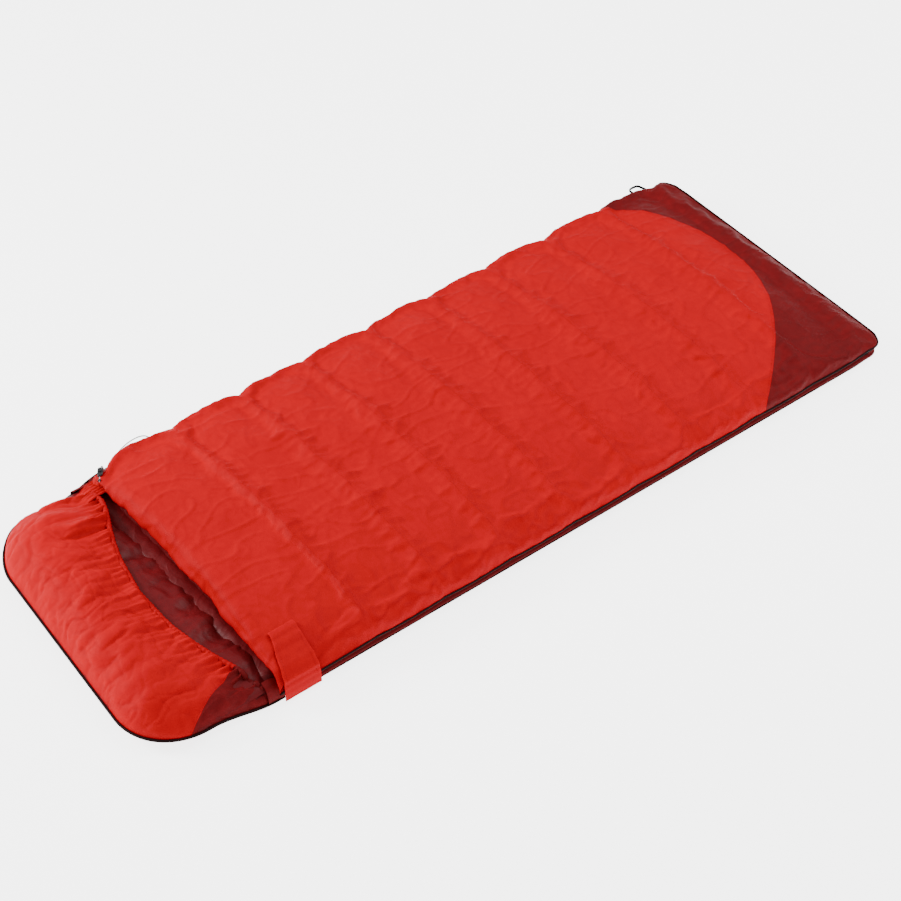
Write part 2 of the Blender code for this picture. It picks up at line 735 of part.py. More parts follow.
slab(
    "hood_shell",
    closed_at_foot([hood_top_outer(row, 0) for row in HOOD_ROWS], hood_low),
    closed_at_foot([hood_top_outer(row, SHELL) for row in HOOD_ROWS], hood_low),
    RED_NYLON,
)
slab(
    "hood_fill",
    [hood_top_outer(row, LAYER, TURN_IN) for row in HOOD_ROWS],
    [hood_top_inner(row, LINING + TOUCH) for row in HOOD_ROWS],
    DOWN,
)
slab(
    "hood_lining",
    [hood_top_inner(row, LINING) for row in HOOD_ROWS],
    [hood_top_inner(row, 0) for row in HOOD_ROWS],
    LINING_NYLON,
)


def shifted(points, step):
    return [(p[0], p[1] + step, p[2]) for p in points]


face_above = hood_top_outer(HOOD_ROWS[0], 0, 0.002)
face_below = hood_top_inner(HOOD_ROWS[0], 0)
slab(
    "face_band",
    [shifted(line, 2 * TOUCH + SHELL) for line in (face_above, face_below)],
    [shifted(line, 2 * TOUCH) for line in (face_above, face_below)],
    MAROON_NYLON,
)


def place_at(points, x):
    """The point of a line of points at a place across the hood."""
    for a, b in zip(points, points[1:]):
        if min(a[0], b[0]) <= x <= max(a[0], b[0]) and a[0] != b[0]:
            return Vector(a).lerp(Vector(b), (x - a[0]) / (b[0] - a[0]))
    return Vector(points[0])


def hem_point(x):
    slope = 2 * FACE_DEPTH * (x - FACE_X) / FACE_HALF ** 2
    slope *= abs(x - FACE_X) < FACE_HALF
    off = (SHELL + 3 * TOUCH + HEM_R) * math.sqrt(1 + slope * slope) + TOUCH
    above, below = place_at(face_above, x), place_at(face_below, x)
    return (x, max(above.y, below.y) + off + TOUCH, (above.z + below.z) / 2)


HEM_HALF = HOOD_HALF - 0.057
hem_path = [hem_point(HEM_HALF * (1 - k / 10)) for k in range(21)]
sweep(
    "face_hem",
    round_rings(hem_path, HEM_R, 10),
    RED_NYLON,
    round_rings(hem_path, HEM_BORE_R, 10),
)
sweep("drawcord", round_rings(hem_path, CORD_R, 6), GREY_CORD)

EDGE_PIPING_R = 0.0015
edge_out = EDGE_PIPING_R + TOUCH


def hood_edge(row, side):
    x = side * row.reach(-edge_out)
    return (x, row.y(-edge_out), HOOD_SEAM)


edge_rows = [row for row in HOOD_ROWS]
edge_path = [hood_edge(row, 1) for row in edge_rows] + [hood_edge(row, -1) for row in reversed(edge_rows)]
sweep("hood_piping", round_rings(edge_path, EDGE_PIPING_R, 8), MAROON_NYLON)

HOOD_SLANT = 0.050        # how much the hood's end slants: its far side reaches out less
SLANT_FROM = HOOD_HALF - 0.100
FACE_FAR = NECK - FACE_LEAST - FACE_DEPTH


def slanted(name):
    """Slants the end of one of the hood's pieces, beyond the face opening."""
    for vertex in bpy.data.objects[name].data.vertices:
        share = smooth((FACE_FAR - vertex.co.y) / (FACE_FAR - HOOD_END))
        vertex.co.y += HOOD_SLANT * share * (SLANT_FROM - vertex.co.x)


for part in ("back_shell", "back_fill", "back_lining", "shell", "fill", "lining", "piping"):
    slanted("hood_" + part)

# ---- Flap over the head end of the zip -----------------------------------------------------------
FLAP_LOW_Y, FLAP_HIGH_Y = HEAD_EDGE + 0.010, HEAD_EDGE + 0.080
FLAP = 0.0016
FLAP_OFF = 0.0006         # from the shell to the flap
FLAP_TOP_X = 0.315        # x of the seam that holds it
FLAP_DROP_X = HALF_WIDTH + 0.0100
FLAP_END_Z = 0.0045
GRIP_LOW, GRIP_HIGH = 0.0048, 0.0125
GRIP_IN = 0.008           # from either side of the flap to its hook and loop strips


def flap_line(y, off):
    """Inner or outer side of the flap at a place along the bag."""
    before = [row for row in TOP_ROWS if row.y() <= y][-1]
    after = [row for row in TOP_ROWS if row.y() > y][0]
    share = (y - before.y()) / (after.y() - before.y())
    pairs = zip(top_outer(before, -off), top_outer(after, -off))
    line = [Vector(a).lerp(Vector(b), share) for a, b in pairs]
    at, beyond = line[4], line[5]
    start = at.lerp(beyond, (at.x - FLAP_TOP_X) / (at.x - beyond.x))
    drop = FLAP_DROP_X + off - FLAP_OFF
    shoulder = Vector((max(line[2].x, drop), y, line[2].z))
    points = [start, at, line[3], shoulder, (drop, y, ZIP_Z + 0.010), (drop, y, FLAP_END_Z)]
    return [Vector((p[0], y, p[2])) for p in points]


flap_ys = [FLAP_LOW_Y, *[y for y in HEAD_STEPS if FLAP_LOW_Y < y < FLAP_HIGH_Y], FLAP_HIGH_Y]
slab(
    "zip_flap",
    [flap_line(y, FLAP_OFF + FLAP) for y in flap_ys],
    [flap_line(y, FLAP_OFF) for y in flap_ys],
    RED_NYLON,
)
loop_in = HALF_WIDTH - EDGE_IN + SIDE_BULGE * 0.95 + TOUCH
hook_out = FLAP_DROP_X - TOUCH
grip_middle = (loop_in + hook_out) / 2
grip_y0, grip_y1 = FLAP_LOW_Y + GRIP_IN, FLAP_HIGH_Y - GRIP_IN
for name, x0, x1 in (
    ("loop_strip", loop_in, grip_middle - TOUCH / 2),
    ("hook_strip", grip_middle + TOUCH / 2, hook_out),
):
    block(name, (x0, grip_y0, GRIP_LOW), (x1, grip_y1, GRIP_HIGH), BLACK_TAPE)

# ---- Far neck: shoulder, cord and cord lock ------------------------------------------------------
CORD_Z = 0.0850           # height at which the cord runs through its lock
LOCK_AT = Vector((0.033 - HALF_WIDTH, HEAD_EDGE + 0.008, CORD_Z))
CORD_WAY = Vector((-0.8, 0.6, 0))
CORD_SIDE = Vector((0.6, 0.8, 0))
LOCK_LONG, LOCK_WIDE = 0.026, 0.013
LOCK_LOW, LOCK_HIGH = CORD_Z - 0.0085, CORD_Z + 0.0070
LOCK_FLOOR = 0.0018
BUTTON_R = 0.0034
BUTTON_PRESS = 0.0030
BUTTON_PLAY = 0.0003
CORD_PLAY = 0.0004
SHOULDER_TOP = LOCK_LOW - TOUCH


def shoulder_ring(shrink, z):
    """One level of the padded shoulder: an oval in line with the cord."""
    points = []
    for k in range(20):
        a = 2 * math.pi * k / 20
        point = SHOULDER_AT + CORD_WAY * power(math.cos(a), 0.8) * (SHOULDER_LONG / 2 - shrink)
        point += CORD_SIDE * power(math.sin(a), 0.8) * (SHOULDER_WIDE / 2 - shrink)
        points.append((point.x, point.y, z))
    return points


SHOULDER_AT = Vector((LOCK_AT.x + 0.006, LOCK_AT.y - 0.0025, 0))
SHOULDER_LONG, SHOULDER_WIDE = 0.054, 0.022
SHOULDER_LOW = BOTTOM_LOFT + 0.0032
shoulder_levels = [(0.004, SHOULDER_LOW), (0.0, SHOULDER_LOW + 0.005), (0.0, SHOULDER_TOP - 0.008)]
shoulder_levels += [(0.002, SHOULDER_TOP - 0.002), (0.005, SHOULDER_TOP)]
sweep("shoulder_gusset", [shoulder_ring(shrink, z) for shrink, z in shoulder_levels], MAROON_NYLON)


def lengthwise(start, stop, radius, sides=16):
    """Rings of a rod along the cord, between two distances from the middle of the lock."""
    return [disc(LOCK_AT + CORD_WAY * at, radius, CORD_SIDE, (0, 0, 1), sides) for at in (start, stop)]


def upright(low, high, radius, sides=20):
    centre = Vector((LOCK_AT.x, LOCK_AT.y, 0))
    return [disc(centre + Vector((0, 0, z)), radius, (1, 0, 0), (0, 1, 0), sides) for z in (low, high)]


def lock_outline(long, wide):
    corners = [(-1, -0.45), (-0.72, -1), (0.72, -1), (1, -0.45)]
    corners += [(-a, -b) for a, b in corners]
    middle = Vector((LOCK_AT.x, LOCK_AT.y, (LOCK_LOW + LOCK_HIGH) / 2))
    return [middle + CORD_WAY * a * long / 2 + CORD_SIDE * b * wide / 2 for a, b in corners]


lock_shape = lock_outline(LOCK_LONG, LOCK_WIDE)
lock = prism("cord_lock", lock_shape, (0, 0, 1), LOCK_HIGH - LOCK_LOW, BLACK_PLASTIC)
cord_bore = sweep("cord_bore", lengthwise(-0.02, 0.02, CORD_R + CORD_PLAY), BLACK_PLASTIC)
button_bore = sweep(
    "button_bore",
    upright(LOCK_LOW + LOCK_FLOOR, LOCK_HIGH + 0.002, BUTTON_R + BUTTON_PLAY),
    BLACK_PLASTIC,
)
combine(lock, button_bore, "DIFFERENCE")
combine(lock, cord_bore, "DIFFERENCE")

BUTTON_LOW = CORD_Z - CORD_R - CORD_PLAY - 0.0012
BUTTON_HIGH = LOCK_HIGH + BUTTON_PRESS + 0.0010
button = sweep("lock_button", upright(BUTTON_LOW, BUTTON_HIGH, BUTTON_R), BLACK_PLASTIC)
slot_half = CORD_R + CORD_PLAY
slot_low, slot_high = CORD_Z - slot_half, CORD_Z + slot_half + BUTTON_PRESS
slot_corners = [(-1, slot_low), (1, slot_low), (1, slot_high), (-1, slot_high)]
lock_axis = Vector((LOCK_AT.x, LOCK_AT.y, 0))
slot_outline = []
for side, z in slot_corners:
    slot_outline.append(lock_axis + Vector((0, 0, z)) + CORD_SIDE * side * slot_half)
combine(button, prism("button_slot", slot_outline, CORD_WAY, 0.02, BLACK_PLASTIC), "DIFFERENCE")

SPRING_WIRE = 0.0002
SPRING_R = 0.0024
spring_low = LOCK_LOW + LOCK_FLOOR + TOUCH / 3 + SPRING_WIRE
spring_high = BUTTON_LOW - TOUCH / 3 - SPRING_WIRE
spring_path = []
for k in range(25):
    a = 2 * math.pi * k / 12
    z = spring_low + (spring_high - spring_low) * k / 24
    spring_path.append((LOCK_AT.x + SPRING_R * math.cos(a), LOCK_AT.y + SPRING_R * math.sin(a), z))
sweep("lock_spring", round_rings(spring_path, SPRING_WIRE, 6), SPRING_STEEL)

GROMMET_AT = 0.0255       # from the middle of the lock back to the ring where the cord comes out
GROMMET_LONG = 0.003
grommet_ends = (-GROMMET_AT - GROMMET_LONG / 2, -GROMMET_AT + GROMMET_LONG / 2)
sweep(
    "cord_exit",
    lengthwise(*grommet_ends, 0.0042),
    BLACK_PLASTIC,
    lengthwise(*grommet_ends, CORD_R + CORD_PLAY),
)

CORD_FLOOR = CORD_R + 0.0002
CORD_LIES = [               # from the far head corner of the bag
    (0.0135, 0.0226, 0.0825),
    (0.0040, 0.0300, 0.0730),
    (-0.0040, 0.0360, 0.0590),
    (-0.0100, 0.0410, 0.0420),
    (-0.0160, 0.0470, 0.0240),
    (-0.0240, 0.0550, 0.0095),
    (-0.0350, 0.0660, CORD_FLOOR),
    (-0.0550, 0.0880, CORD_FLOOR),
    (-0.0730, 0.1110, CORD_FLOOR),
    (-0.0870, 0.1370, CORD_FLOOR),
    (-0.0950, 0.1650, CORD_FLOOR),
    (-0.0960, 0.1890, CORD_FLOOR),
    (-0.0900, 0.2050, CORD_FLOOR),
    (-0.0760, 0.2120, CORD_FLOOR),
]
straight = [LOCK_AT + CORD_WAY * at for at in (-GROMMET_AT - GROMMET_LONG, -0.014, 0, 0.014)]
CORD_POINTS = [tuple(point) for point in straight]
CORD_POINTS += [(x - HALF_WIDTH, y + HEAD_EDGE, z) for x, y, z in CORD_LIES]


def cord(name, points, radius, mat):
    """A cord through hand-set points, as a round tube with closed ends."""
    curve = bpy.data.curves.new(name, "CURVE")
    curve.dimensions = "3D"
    curve.bevel_depth = radius
    curve.bevel_resolution = 2
    curve.use_fill_caps = True
    line = curve.splines.new("POLY")
    smoothed = spline(points)
    line.points.add(len(smoothed) - 1)
    for target, point in zip(line.points, smoothed):
        target.co = (*point, 1)
    made = bpy.data.objects.new(name, curve)
    made.data.materials.append(mat)
    bpy.context.scene.collection.objects.link(made)
    return made


def spline(points, spacing=0.006):
    """Evenly spaced points on a Catmull-Rom curve through the given points."""
    dense = []
    whole = [points[0], *points, points[-1]]
    for a, b, c, d in zip(whole, whole[1:], whole[2:], whole[3:]):
        a, b, c, d = (Vector(p) for p in (a, b, c, d))
        count = max(1, round((c - b).length / spacing))
        for k in range(count):
            t = k / count
            bend = (2 * a - 5 * b + 4 * c - d) * t * t + (3 * b - a - 3 * c + d) * t ** 3
            dense.append(tuple(0.5 * (2 * b + (c - a) * t + bend)))
    return dense + [tuple(points[-1])]


cord("free_cord", CORD_POINTS, CORD_R, GREY_CORD)

tip_from = Vector(CORD_POINTS[-1])
tip_way = (tip_from - Vector(CORD_POINTS[-2])).normalized()
TIP_R = 0.0024
tip_path = [tip_from + tip_way * at + Vector((0, 0, TIP_R - CORD_R)) for at in (TOUCH, 0.012)]
sweep("cord_tip", round_rings(tip_path, TIP_R, 12), BLACK_PLASTIC)

# ---- Hang loop at the far side of the foot -------------------------------------------------------
LOOP_Y0, LOOP_Y1 = FOOT - 0.099, FOOT - 0.057
LOOP_OUT = -HALF_WIDTH - 0.057
LOOP_HIGH = 0.0085
WEB = 0.0014
loop_in_x = -HALF_WIDTH + EDGE_IN + FAR_FOOT - 0.0095 - TOUCH
loop_line = [(loop_in_x, LOOP_Y0), (LOOP_OUT + 0.012, LOOP_Y0 + 0.002), (LOOP_OUT + 0.003, LOOP_Y0 + 0.008)]
loop_line += [(LOOP_OUT, (LOOP_Y0 + LOOP_Y1) / 2), (LOOP_OUT + 0.003, LOOP_Y1 - 0.008)]
loop_line += [(LOOP_OUT + 0.012, LOOP_Y1 - 0.002), (loop_in_x, LOOP_Y1)]
loop_rings = []
for number, (x, y) in enumerate(loop_line):
    ahead = Vector((*loop_line[min(number + 1, 6)], 0)) - Vector((*loop_line[max(number - 1, 0)], 0))
    side = Vector((-ahead.y, ahead.x, 0)).normalized() * WEB / 2
    ring = []
    for sign, z in ((-1, TOUCH), (1, TOUCH), (1, LOOP_HIGH), (-1, LOOP_HIGH)):
        ring.append((x + sign * side.x, y + sign * side.y, z))
    loop_rings.append(ring)
sweep("hang_loop", loop_rings, BLACK_TAPE)
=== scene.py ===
"""Looks of a rectangular down sleeping bag with a drawcord hood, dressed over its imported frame.

Frame: the bag lies on the floor z = 0 with its length along Y. Its hood is at -Y, its foot at +Y and
its side zip at +X; the top quilt turns on the far edge at -X. Sizes are metres.
"""

import math

import bmesh
import bpy
import numpy as np
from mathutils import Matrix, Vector, noise
from mathutils.bvhtree import BVHTree


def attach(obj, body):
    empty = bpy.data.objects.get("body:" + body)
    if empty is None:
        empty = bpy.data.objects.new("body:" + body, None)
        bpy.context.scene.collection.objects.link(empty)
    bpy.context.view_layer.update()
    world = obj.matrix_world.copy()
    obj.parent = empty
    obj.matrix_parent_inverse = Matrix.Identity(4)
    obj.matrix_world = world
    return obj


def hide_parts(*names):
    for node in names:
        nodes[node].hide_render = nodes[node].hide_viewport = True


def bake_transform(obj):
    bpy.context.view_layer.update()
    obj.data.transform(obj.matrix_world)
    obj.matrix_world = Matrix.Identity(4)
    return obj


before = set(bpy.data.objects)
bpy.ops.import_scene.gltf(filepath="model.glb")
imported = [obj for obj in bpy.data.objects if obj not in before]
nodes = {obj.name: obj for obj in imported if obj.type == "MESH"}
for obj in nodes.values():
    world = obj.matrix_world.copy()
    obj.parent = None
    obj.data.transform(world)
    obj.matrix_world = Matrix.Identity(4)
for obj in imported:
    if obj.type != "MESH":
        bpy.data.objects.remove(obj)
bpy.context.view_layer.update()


# ---- Camera --------------------------------------------------------------------------------------
# The photograph looks down at the bag from beyond its near head corner; the bag's outline in it gave
# the turn, the rise, the distance and the lens.
VIEW_TURN, VIEW_RISE = math.radians(51.546), math.radians(43.475)
VIEW_AT = Vector((0.013, 0.018, 0.0))
VIEW_FAR = 6.110
LENS_MM, SENSOR_MM = 99.889, 36.0
camera_data = bpy.data.cameras.new("camera")
camera_data.lens = LENS_MM
camera_data.sensor_width = SENSOR_MM
camera = bpy.data.objects.new("camera", camera_data)
bpy.context.scene.collection.objects.link(camera)
bpy.context.scene.camera = camera
level = math.cos(VIEW_RISE)
back = Vector((math.sin(VIEW_TURN) * level, -math.cos(VIEW_TURN) * level, math.sin(VIEW_RISE)))
camera.location = VIEW_AT + back * VIEW_FAR
camera.rotation_mode = "QUATERNION"
camera.rotation_quaternion = (-back).to_track_quat("-Z", "Y")


# ---- Top quilt -----------------------------------------------------------------------------------
# The quilt over the sleeper: a red cover of thin woven nylon, filled with down and sewn across in
# ten chambers. Its head edge rolls over, its near side hangs over the zip, and its far side and its
# foot are sewn down to a thin edge.
def linear(code):
    """A colour given as six hex digits, in linear light."""
    parts = [int(code[i:i + 2], 16) / 255 for i in (0, 2, 4)]
    return (*[c / 12.92 if c <= 0.04045 else ((c + 0.055) / 1.055) ** 2.4 for c in parts], 1.0)


def add(tree, kind, feeds=None, out=0, **settings):
    """Adds a shader node, sets and links its inputs, and returns one of its outputs."""
    node = tree.nodes.new("ShaderNode" + kind)
    for key, value in settings.items():
        setattr(node, key, value)
    for socket, value in (feeds or {}).items():
        if isinstance(value, bpy.types.NodeSocket):
            tree.links.new(value, node.inputs[socket])
        else:
            node.inputs[socket].default_value = value
    return node.outputs[out]


def mixed(tree, share, one, other):
    """One colour turning into another by a share; 6 and 7 are the mix node's colour sockets."""
    return add(tree, "Mix", {0: share, 6: one, 7: other}, 2, data_type="RGBA")


def new_material(name):
    mat = bpy.data.materials.new(name)
    mat.use_nodes = True
    return mat, mat.node_tree, mat.node_tree.nodes["Principled BSDF"]


WAVES_PER_M = 0.3142      # a wave texture at scale 1 repeats every 2 pi / 20 m
MOTTLES_PER_M, GRAINS_PER_M, FOLDS_PER_M = 9.0, 60.0, 21.0
FOLD_DEEP = 0.012


def fabric(name, colour, shade, roughness, sheen, crease, thread=0.00042, depth=0.00006, gloss=0.5):
    """Plain woven nylon. Down behind it mottles the colour, painted light brightens its ridges and painted
    shade darkens its creases.

    The real thread is about 0.1 mm, too fine to show, so it is drawn at 0.3 to 0.5 mm.
    """
    mat, tree, bsdf = new_material(name)
    place = add(tree, "TexCoord", out=3)
    feeds = {"Vector": place, "Scale": MOTTLES_PER_M, "Detail": 3.0, "Roughness": 0.55}
    mottle = add(tree, "TexNoise", feeds)
    fine = add(tree, "TexNoise", {"Vector": place, "Scale": GRAINS_PER_M, "Detail": 2.0})
    both = add(tree, "Math", {0: mottle, 1: fine}, operation="MULTIPLY")
    share = add(tree, "MapRange", {"Value": both, "From Min": 0.10, "From Max": 0.42})
    tint = mixed(tree, share, linear(shade), linear(colour))
    # Painted light and shade: the mesh's pointiness brightens the cloth's colour on ridges and darkens it in
    # creases and valleys.
    ridge = add(tree, "NewGeometry", out=7)
    ridge_light_range = {"Value": ridge, "From Min": 0.44, "From Max": 0.58, "To Min": 0.72, "To Max": 1.12}
    wear_and_ridge_light = add(tree, "MapRange", ridge_light_range)
    lit = add(tree, "HueSaturation", {"Value": wear_and_ridge_light, "Color": tint})
    tree.links.new(lit, bsdf.inputs["Base Color"])
    bands = []
    for axis in "XYZ":
        feeds = {"Vector": place, "Scale": WAVES_PER_M / thread, "Distortion": 0.35, "Detail": 1.0,
                 "Detail Scale": 0.02}
        bands.append(add(tree, "TexWave", feeds, 1, bands_direction=axis))
    pair = add(tree, "Math", {0: bands[0], 1: bands[1]}, operation="MAXIMUM")
    weave = add(tree, "Math", {0: pair, 1: bands[2]}, operation="MAXIMUM")
    feeds = {"Vector": place, "Scale": FOLDS_PER_M, "Detail": 2.0, "Roughness": 0.5, "Distortion": 0.5}
    warped = add(tree, "TexNoise", feeds)
    middle = add(tree, "Math", {0: warped, 1: 0.5}, operation="SUBTRACT")
    fold = add(tree, "Math", {0: middle}, operation="ABSOLUTE")
    creases = add(tree, "Bump", {"Height": fold, "Strength": crease, "Distance": FOLD_DEEP}, invert=True)
    threads = add(tree, "Bump", {"Height": weave, "Strength": 0.5, "Distance": depth, "Normal": creases})
    tree.links.new(threads, bsdf.inputs["Normal"])
    rough = add(tree, "MapRange", {"Value": fine, "To Min": roughness - 0.06, "To Max": roughness + 0.06})
    tree.links.new(rough, bsdf.inputs["Roughness"])
    bsdf.inputs["Specular IOR Level"].default_value = gloss
    bsdf.inputs["Sheen Weight"].default_value = sheen
    bsdf.inputs["Sheen Roughness"].default_value = 0.45
    bsdf.inputs["Sheen Tint"].default_value = linear(colour)
    return mat


# Nylon taffeta, woven, dyed and left uncoated: an even, nearly matt red that takes fine creases.
RED_TAFFETA = fabric("red_nylon_taffeta", "cd0214", "c20212", 0.62, 0.02, 0.24, gloss=0.06)

# The bag's own sizes, and the heights at which its two halves part.
HALF_WIDTH, FOOT, CORNER_R = 0.405, 1.105, 0.040
HEAD_EDGE, HEAD_CORNER_R = -0.745, 0.120
HEAD_ROLL = 0.034         # how far the head edge rolls over
ZIP_Z, HINGE_Z, ZIP_ROOM = 0.028, 0.055, 0.0075
EDGE_IN = 0.0007          # the cover's sewn edge lies this far inside the outline
HINGE_ROOM = 0.0035
TOP_BASE, FAR_LOW = 0.0385, HINGE_Z + HINGE_ROOM
TOP_LOW, INNER_TOP, CROWN = ZIP_Z + ZIP_ROOM, 0.073, 0.135
FIRST_CHAMBER, CHAMBER = 0.230, 0.195
SEAMS = [HEAD_EDGE + FIRST_CHAMBER + CHAMBER * k for k in range(9)]
FOOT_FALL = 0.260         # the quilt thins down over this length at the foot
LEAST_THICK = 0.0035
BULGE_FAR, OVERHANG_NEAR, SEAM_TUCK = 0.0110, 0.0165, 0.006
SEAM_DIP, SEAM_DIP_SIDES, SEAM_DIP_FAR = 0.0080, 0.0060, 0.0070
BASE_GAP, FAR_LIFT = 0.0005, 0.008


def ramp(value):
    """0 below 0, 1 above 1 and a smooth rise between them."""
    value = np.clip(value, 0.0, 1.0)
    return value * value * (3 - 2 * value)


def power(value, exponent):
    return np.sign(value) * np.abs(value) ** exponent


def wander(points, scale, seed):
    """Smooth noise from about -1 to 1 at each point; scale is its waves in a metre."""
    at = np.asarray(points, float) * scale + seed
    return np.array([noise.noise(Vector(p)) for p in at.reshape(-1, 3)]).reshape(at.shape[:-1])


def across(x, near, far):
    """A height that runs from the near side's to the far side's."""
    share = np.clip((x + HALF_WIDTH) / (2 * HALF_WIDTH), 0, 1)
    return far + (near - far) * share


def foot_taper(y):
    """1 along the bag, falling to 0 at the sewn edge of the foot."""
    share = np.clip((y - FOOT + FOOT_FALL) / FOOT_FALL, 0, 1)
    return np.maximum(0, 1 - share ** 1.9) ** 0.80


def draw_in(y):
    """How far the round corner at the foot takes in either side."""
    into = np.clip(y - FOOT + CORNER_R, 0, CORNER_R)
    return CORNER_R - math.sqrt(max(CORNER_R ** 2 - into ** 2, 0.0))


HEAD_OUT, HEAD_SKEW = 0.010, 0.030
SKEW_FROM, SKEW_OVER = -0.08, 0.42


def head_line(x):
    """y of the quilt's head edge, which lies further out towards the zip."""
    return HEAD_EDGE - HEAD_OUT - HEAD_SKEW * ramp((x - SKEW_FROM) / SKEW_OVER)


def to_head_line(points):
    """Takes the first chamber's points along with the head edge."""
    ease = ramp((SEAMS[0] - points[..., 1]) / (SEAMS[0] - HEAD_EDGE))
    points[..., 1] += (head_line(points[..., 0]) - HEAD_EDGE) * ease


def swell(y):
    """0 on a quilting seam and 1 in the middle of a chamber."""
    before = max([s for s in SEAMS if s <= y], default=HEAD_EDGE - 0.10)
    after = min([s for s in SEAMS if s > y], default=FOOT + 0.06)
    share = (y - before) / (after - before)
    return max(0.0, math.sin(math.pi * share)) ** 0.62


def top_row(y, turns):
    """The outer side of the top quilt across the bag, from above the zip to the far edge."""
    puff, taper, corner = swell(y), float(foot_taper(y)), draw_in(y)
    near = HALF_WIDTH - EDGE_IN - corner
    inward = min(HEAD_CORNER_R * 0.99, max(0.0, HEAD_CORNER_R - (y - HEAD_EDGE)))
    far = -HALF_WIDTH + EDGE_IN + corner + HEAD_CORNER_R - math.sqrt(HEAD_CORNER_R ** 2 - inward ** 2)
    bulge = BULGE_FAR * taper ** 0.5
    overhang = OVERHANG_NEAR * taper ** 0.3 * (0.75 + 0.25 * puff)
    middle, half = (near + far) / 2, (near - far) / 2
    cosine = power(np.cos(turns), 0.72)
    beyond = np.where(cosine > 0, overhang, bulge * (0.35 + 0.65 * puff) - SEAM_TUCK * (1 - puff))
    x = middle + cosine * (half + beyond)
    dip = SEAM_DIP + SEAM_DIP_SIDES * ramp(np.abs(x) / 0.36) + SEAM_DIP_FAR * ramp((-x - 0.14) / 0.16)
    base = across(x, TOP_BASE, FAR_LOW) + BASE_GAP + FAR_LIFT * taper * (x < 0)
    height = (CROWN - base) * taper - dip * (1 - puff) * taper
    height = np.maximum(height, LEAST_THICK)
    z = base + height * np.sin(turns) ** 0.72
    return np.stack([x, np.full_like(x, y), z], axis=-1)


UNDER_IN, UNDER_RISE = 0.003, 0.004


def under_row(y, xs):
    """The inner side of the top quilt, over the room for the sleeper."""
    taper, corner = float(foot_taper(y)), draw_in(y)
    reach = HALF_WIDTH - UNDER_IN - corner
    side = np.clip(1 - (np.abs(xs) / reach) ** 2, 0, 1)
    base = across(xs, TOP_LOW, HINGE_Z + UNDER_RISE)
    vault = np.sin(np.arccos(np.clip(np.abs(xs) / reach, 0, 1) ** 1.25)) ** 0.30
    return base + (INNER_TOP - base) * taper * vault * (side > 0)


def lengths(path):
    """The length along a path at each of its points."""
    return np.concatenate([[0], np.cumsum(np.linalg.norm(np.diff(path, axis=0), axis=1))])


def even_turns(count):
    """Angles across the quilt that give columns of even width."""
    dense = np.linspace(0, math.pi, 4001)
    row = top_row(0.1, dense)
    length = lengths(row)
    return np.interp(np.linspace(0, length[-1], count), length, dense)


COLUMNS, ROW_STEP, ROLL_ROWS = 104, 0.0095, 8
FOOT_SEWN = FOOT - 0.0012
TURNS = even_turns(COLUMNS)
row_at = []
edges = [HEAD_EDGE + HEAD_ROLL, *SEAMS, FOOT_SEWN]
for low, high in zip(edges, edges[1:]):
    count = max(3, round((high - low) / ROW_STEP))
    share = np.linspace(0, 1, count + 1)[:-1]
    row_at += list(low + (high - low) * share)
row_at.append(edges[-1])
top_points = np.array([top_row(y, TURNS) for y in row_at])
# The head edge rolls over from the lining's height to the cover's.
xs, start_z = top_points[0, :, 0], top_points[0, :, 2]
start_under = np.minimum(under_row(row_at[0], xs), start_z - 0.001)
rolls = []
for turn in np.linspace(math.pi, 0, ROLL_ROWS + 1)[:-1]:
    z = start_under + (start_z - start_under) * (1 + math.cos(turn)) / 2
    y = HEAD_EDGE + HEAD_ROLL * (1 - math.sin(turn)) + 0 * xs
    rolls.append(np.stack([xs, y, z], axis=-1))
top_points = np.concatenate([np.array(rolls), top_points])
to_head_line(top_points)


def on_seam(y):
    return bool(np.any(np.abs(np.array(SEAMS) - y) < 1e-4))


# The seams wander a little, and the down lifts the top unevenly.
SEAM_STRAY, STRAYS_PER_M, STRAY_SEED = 0.0035, 14.0, 3.0
SWELL_STRAY, SWELLS_PER_M = 0.0012, 31.0
row_places = np.array([0.0] * ROLL_ROWS + row_at)
seam_row = np.array([on_seam(y) for y in row_places])
stray = wander(top_points * np.array([1, 1, 0]), STRAYS_PER_M, STRAY_SEED)
top_points[:, :, 1] += SEAM_STRAY * stray * seam_row[:, None]
top_points[:, :, 2] += SWELL_STRAY * wander(top_points, SWELLS_PER_M, 8.0) * (top_points[:, :, 2] > 0.07)
held = np.zeros(top_points.shape[:2], bool)
held[seam_row, :] = True
held[0, :] = held[-1, :] = held[:, 0] = held[:, -1] = True


def placed(name, data):
    """A new object in the scene."""
    made = bpy.data.objects.new(name, data)
    bpy.context.scene.collection.objects.link(made)
    return made


def mesh_of(name, verts, faces, mat, smooth=True):
    """A new piece from its points and faces."""
    mesh = bpy.data.meshes.new(name)
    mesh.from_pydata(verts, [], faces)
    mesh.materials.append(mat)
    mesh.polygons.foreach_set("use_smooth", [smooth] * len(faces))
    return placed(name, mesh)


def surface(name, points, mat, ring=False):
    """A quad mesh through rows of points; ring joins the last column to the first."""
    points = np.asarray(points, float)
    rows, columns = points.shape[:2]
    index = np.arange(rows * columns).reshape(rows, columns)
    if ring:
        index = np.hstack([index, index[:, :1]])
    corners = [index[:-1, :-1], index[:-1, 1:], index[1:, 1:], index[1:, :-1]]
    quads = np.stack(corners, axis=-1).reshape(-1, 4)
    return mesh_of(name, points.reshape(-1, 3).tolist(), quads.tolist(), mat)


def points_of(obj):
    flat = np.empty(len(obj.data.vertices) * 3)
    obj.data.vertices.foreach_get("co", flat)
    return flat.reshape(-1, 3)


def move_to(obj, points):
    obj.data.vertices.foreach_set("co", np.ascontiguousarray(points).ravel())
    obj.data.update()


def settle(obj):
    """Takes the modifiers' result as the piece's own mesh."""
    bpy.context.view_layer.update()
    view = bpy.context.evaluated_depsgraph_get()
    made = bpy.data.meshes.new_from_object(obj.evaluated_get(view))
    obj.modifiers.clear()
    obj.data = made


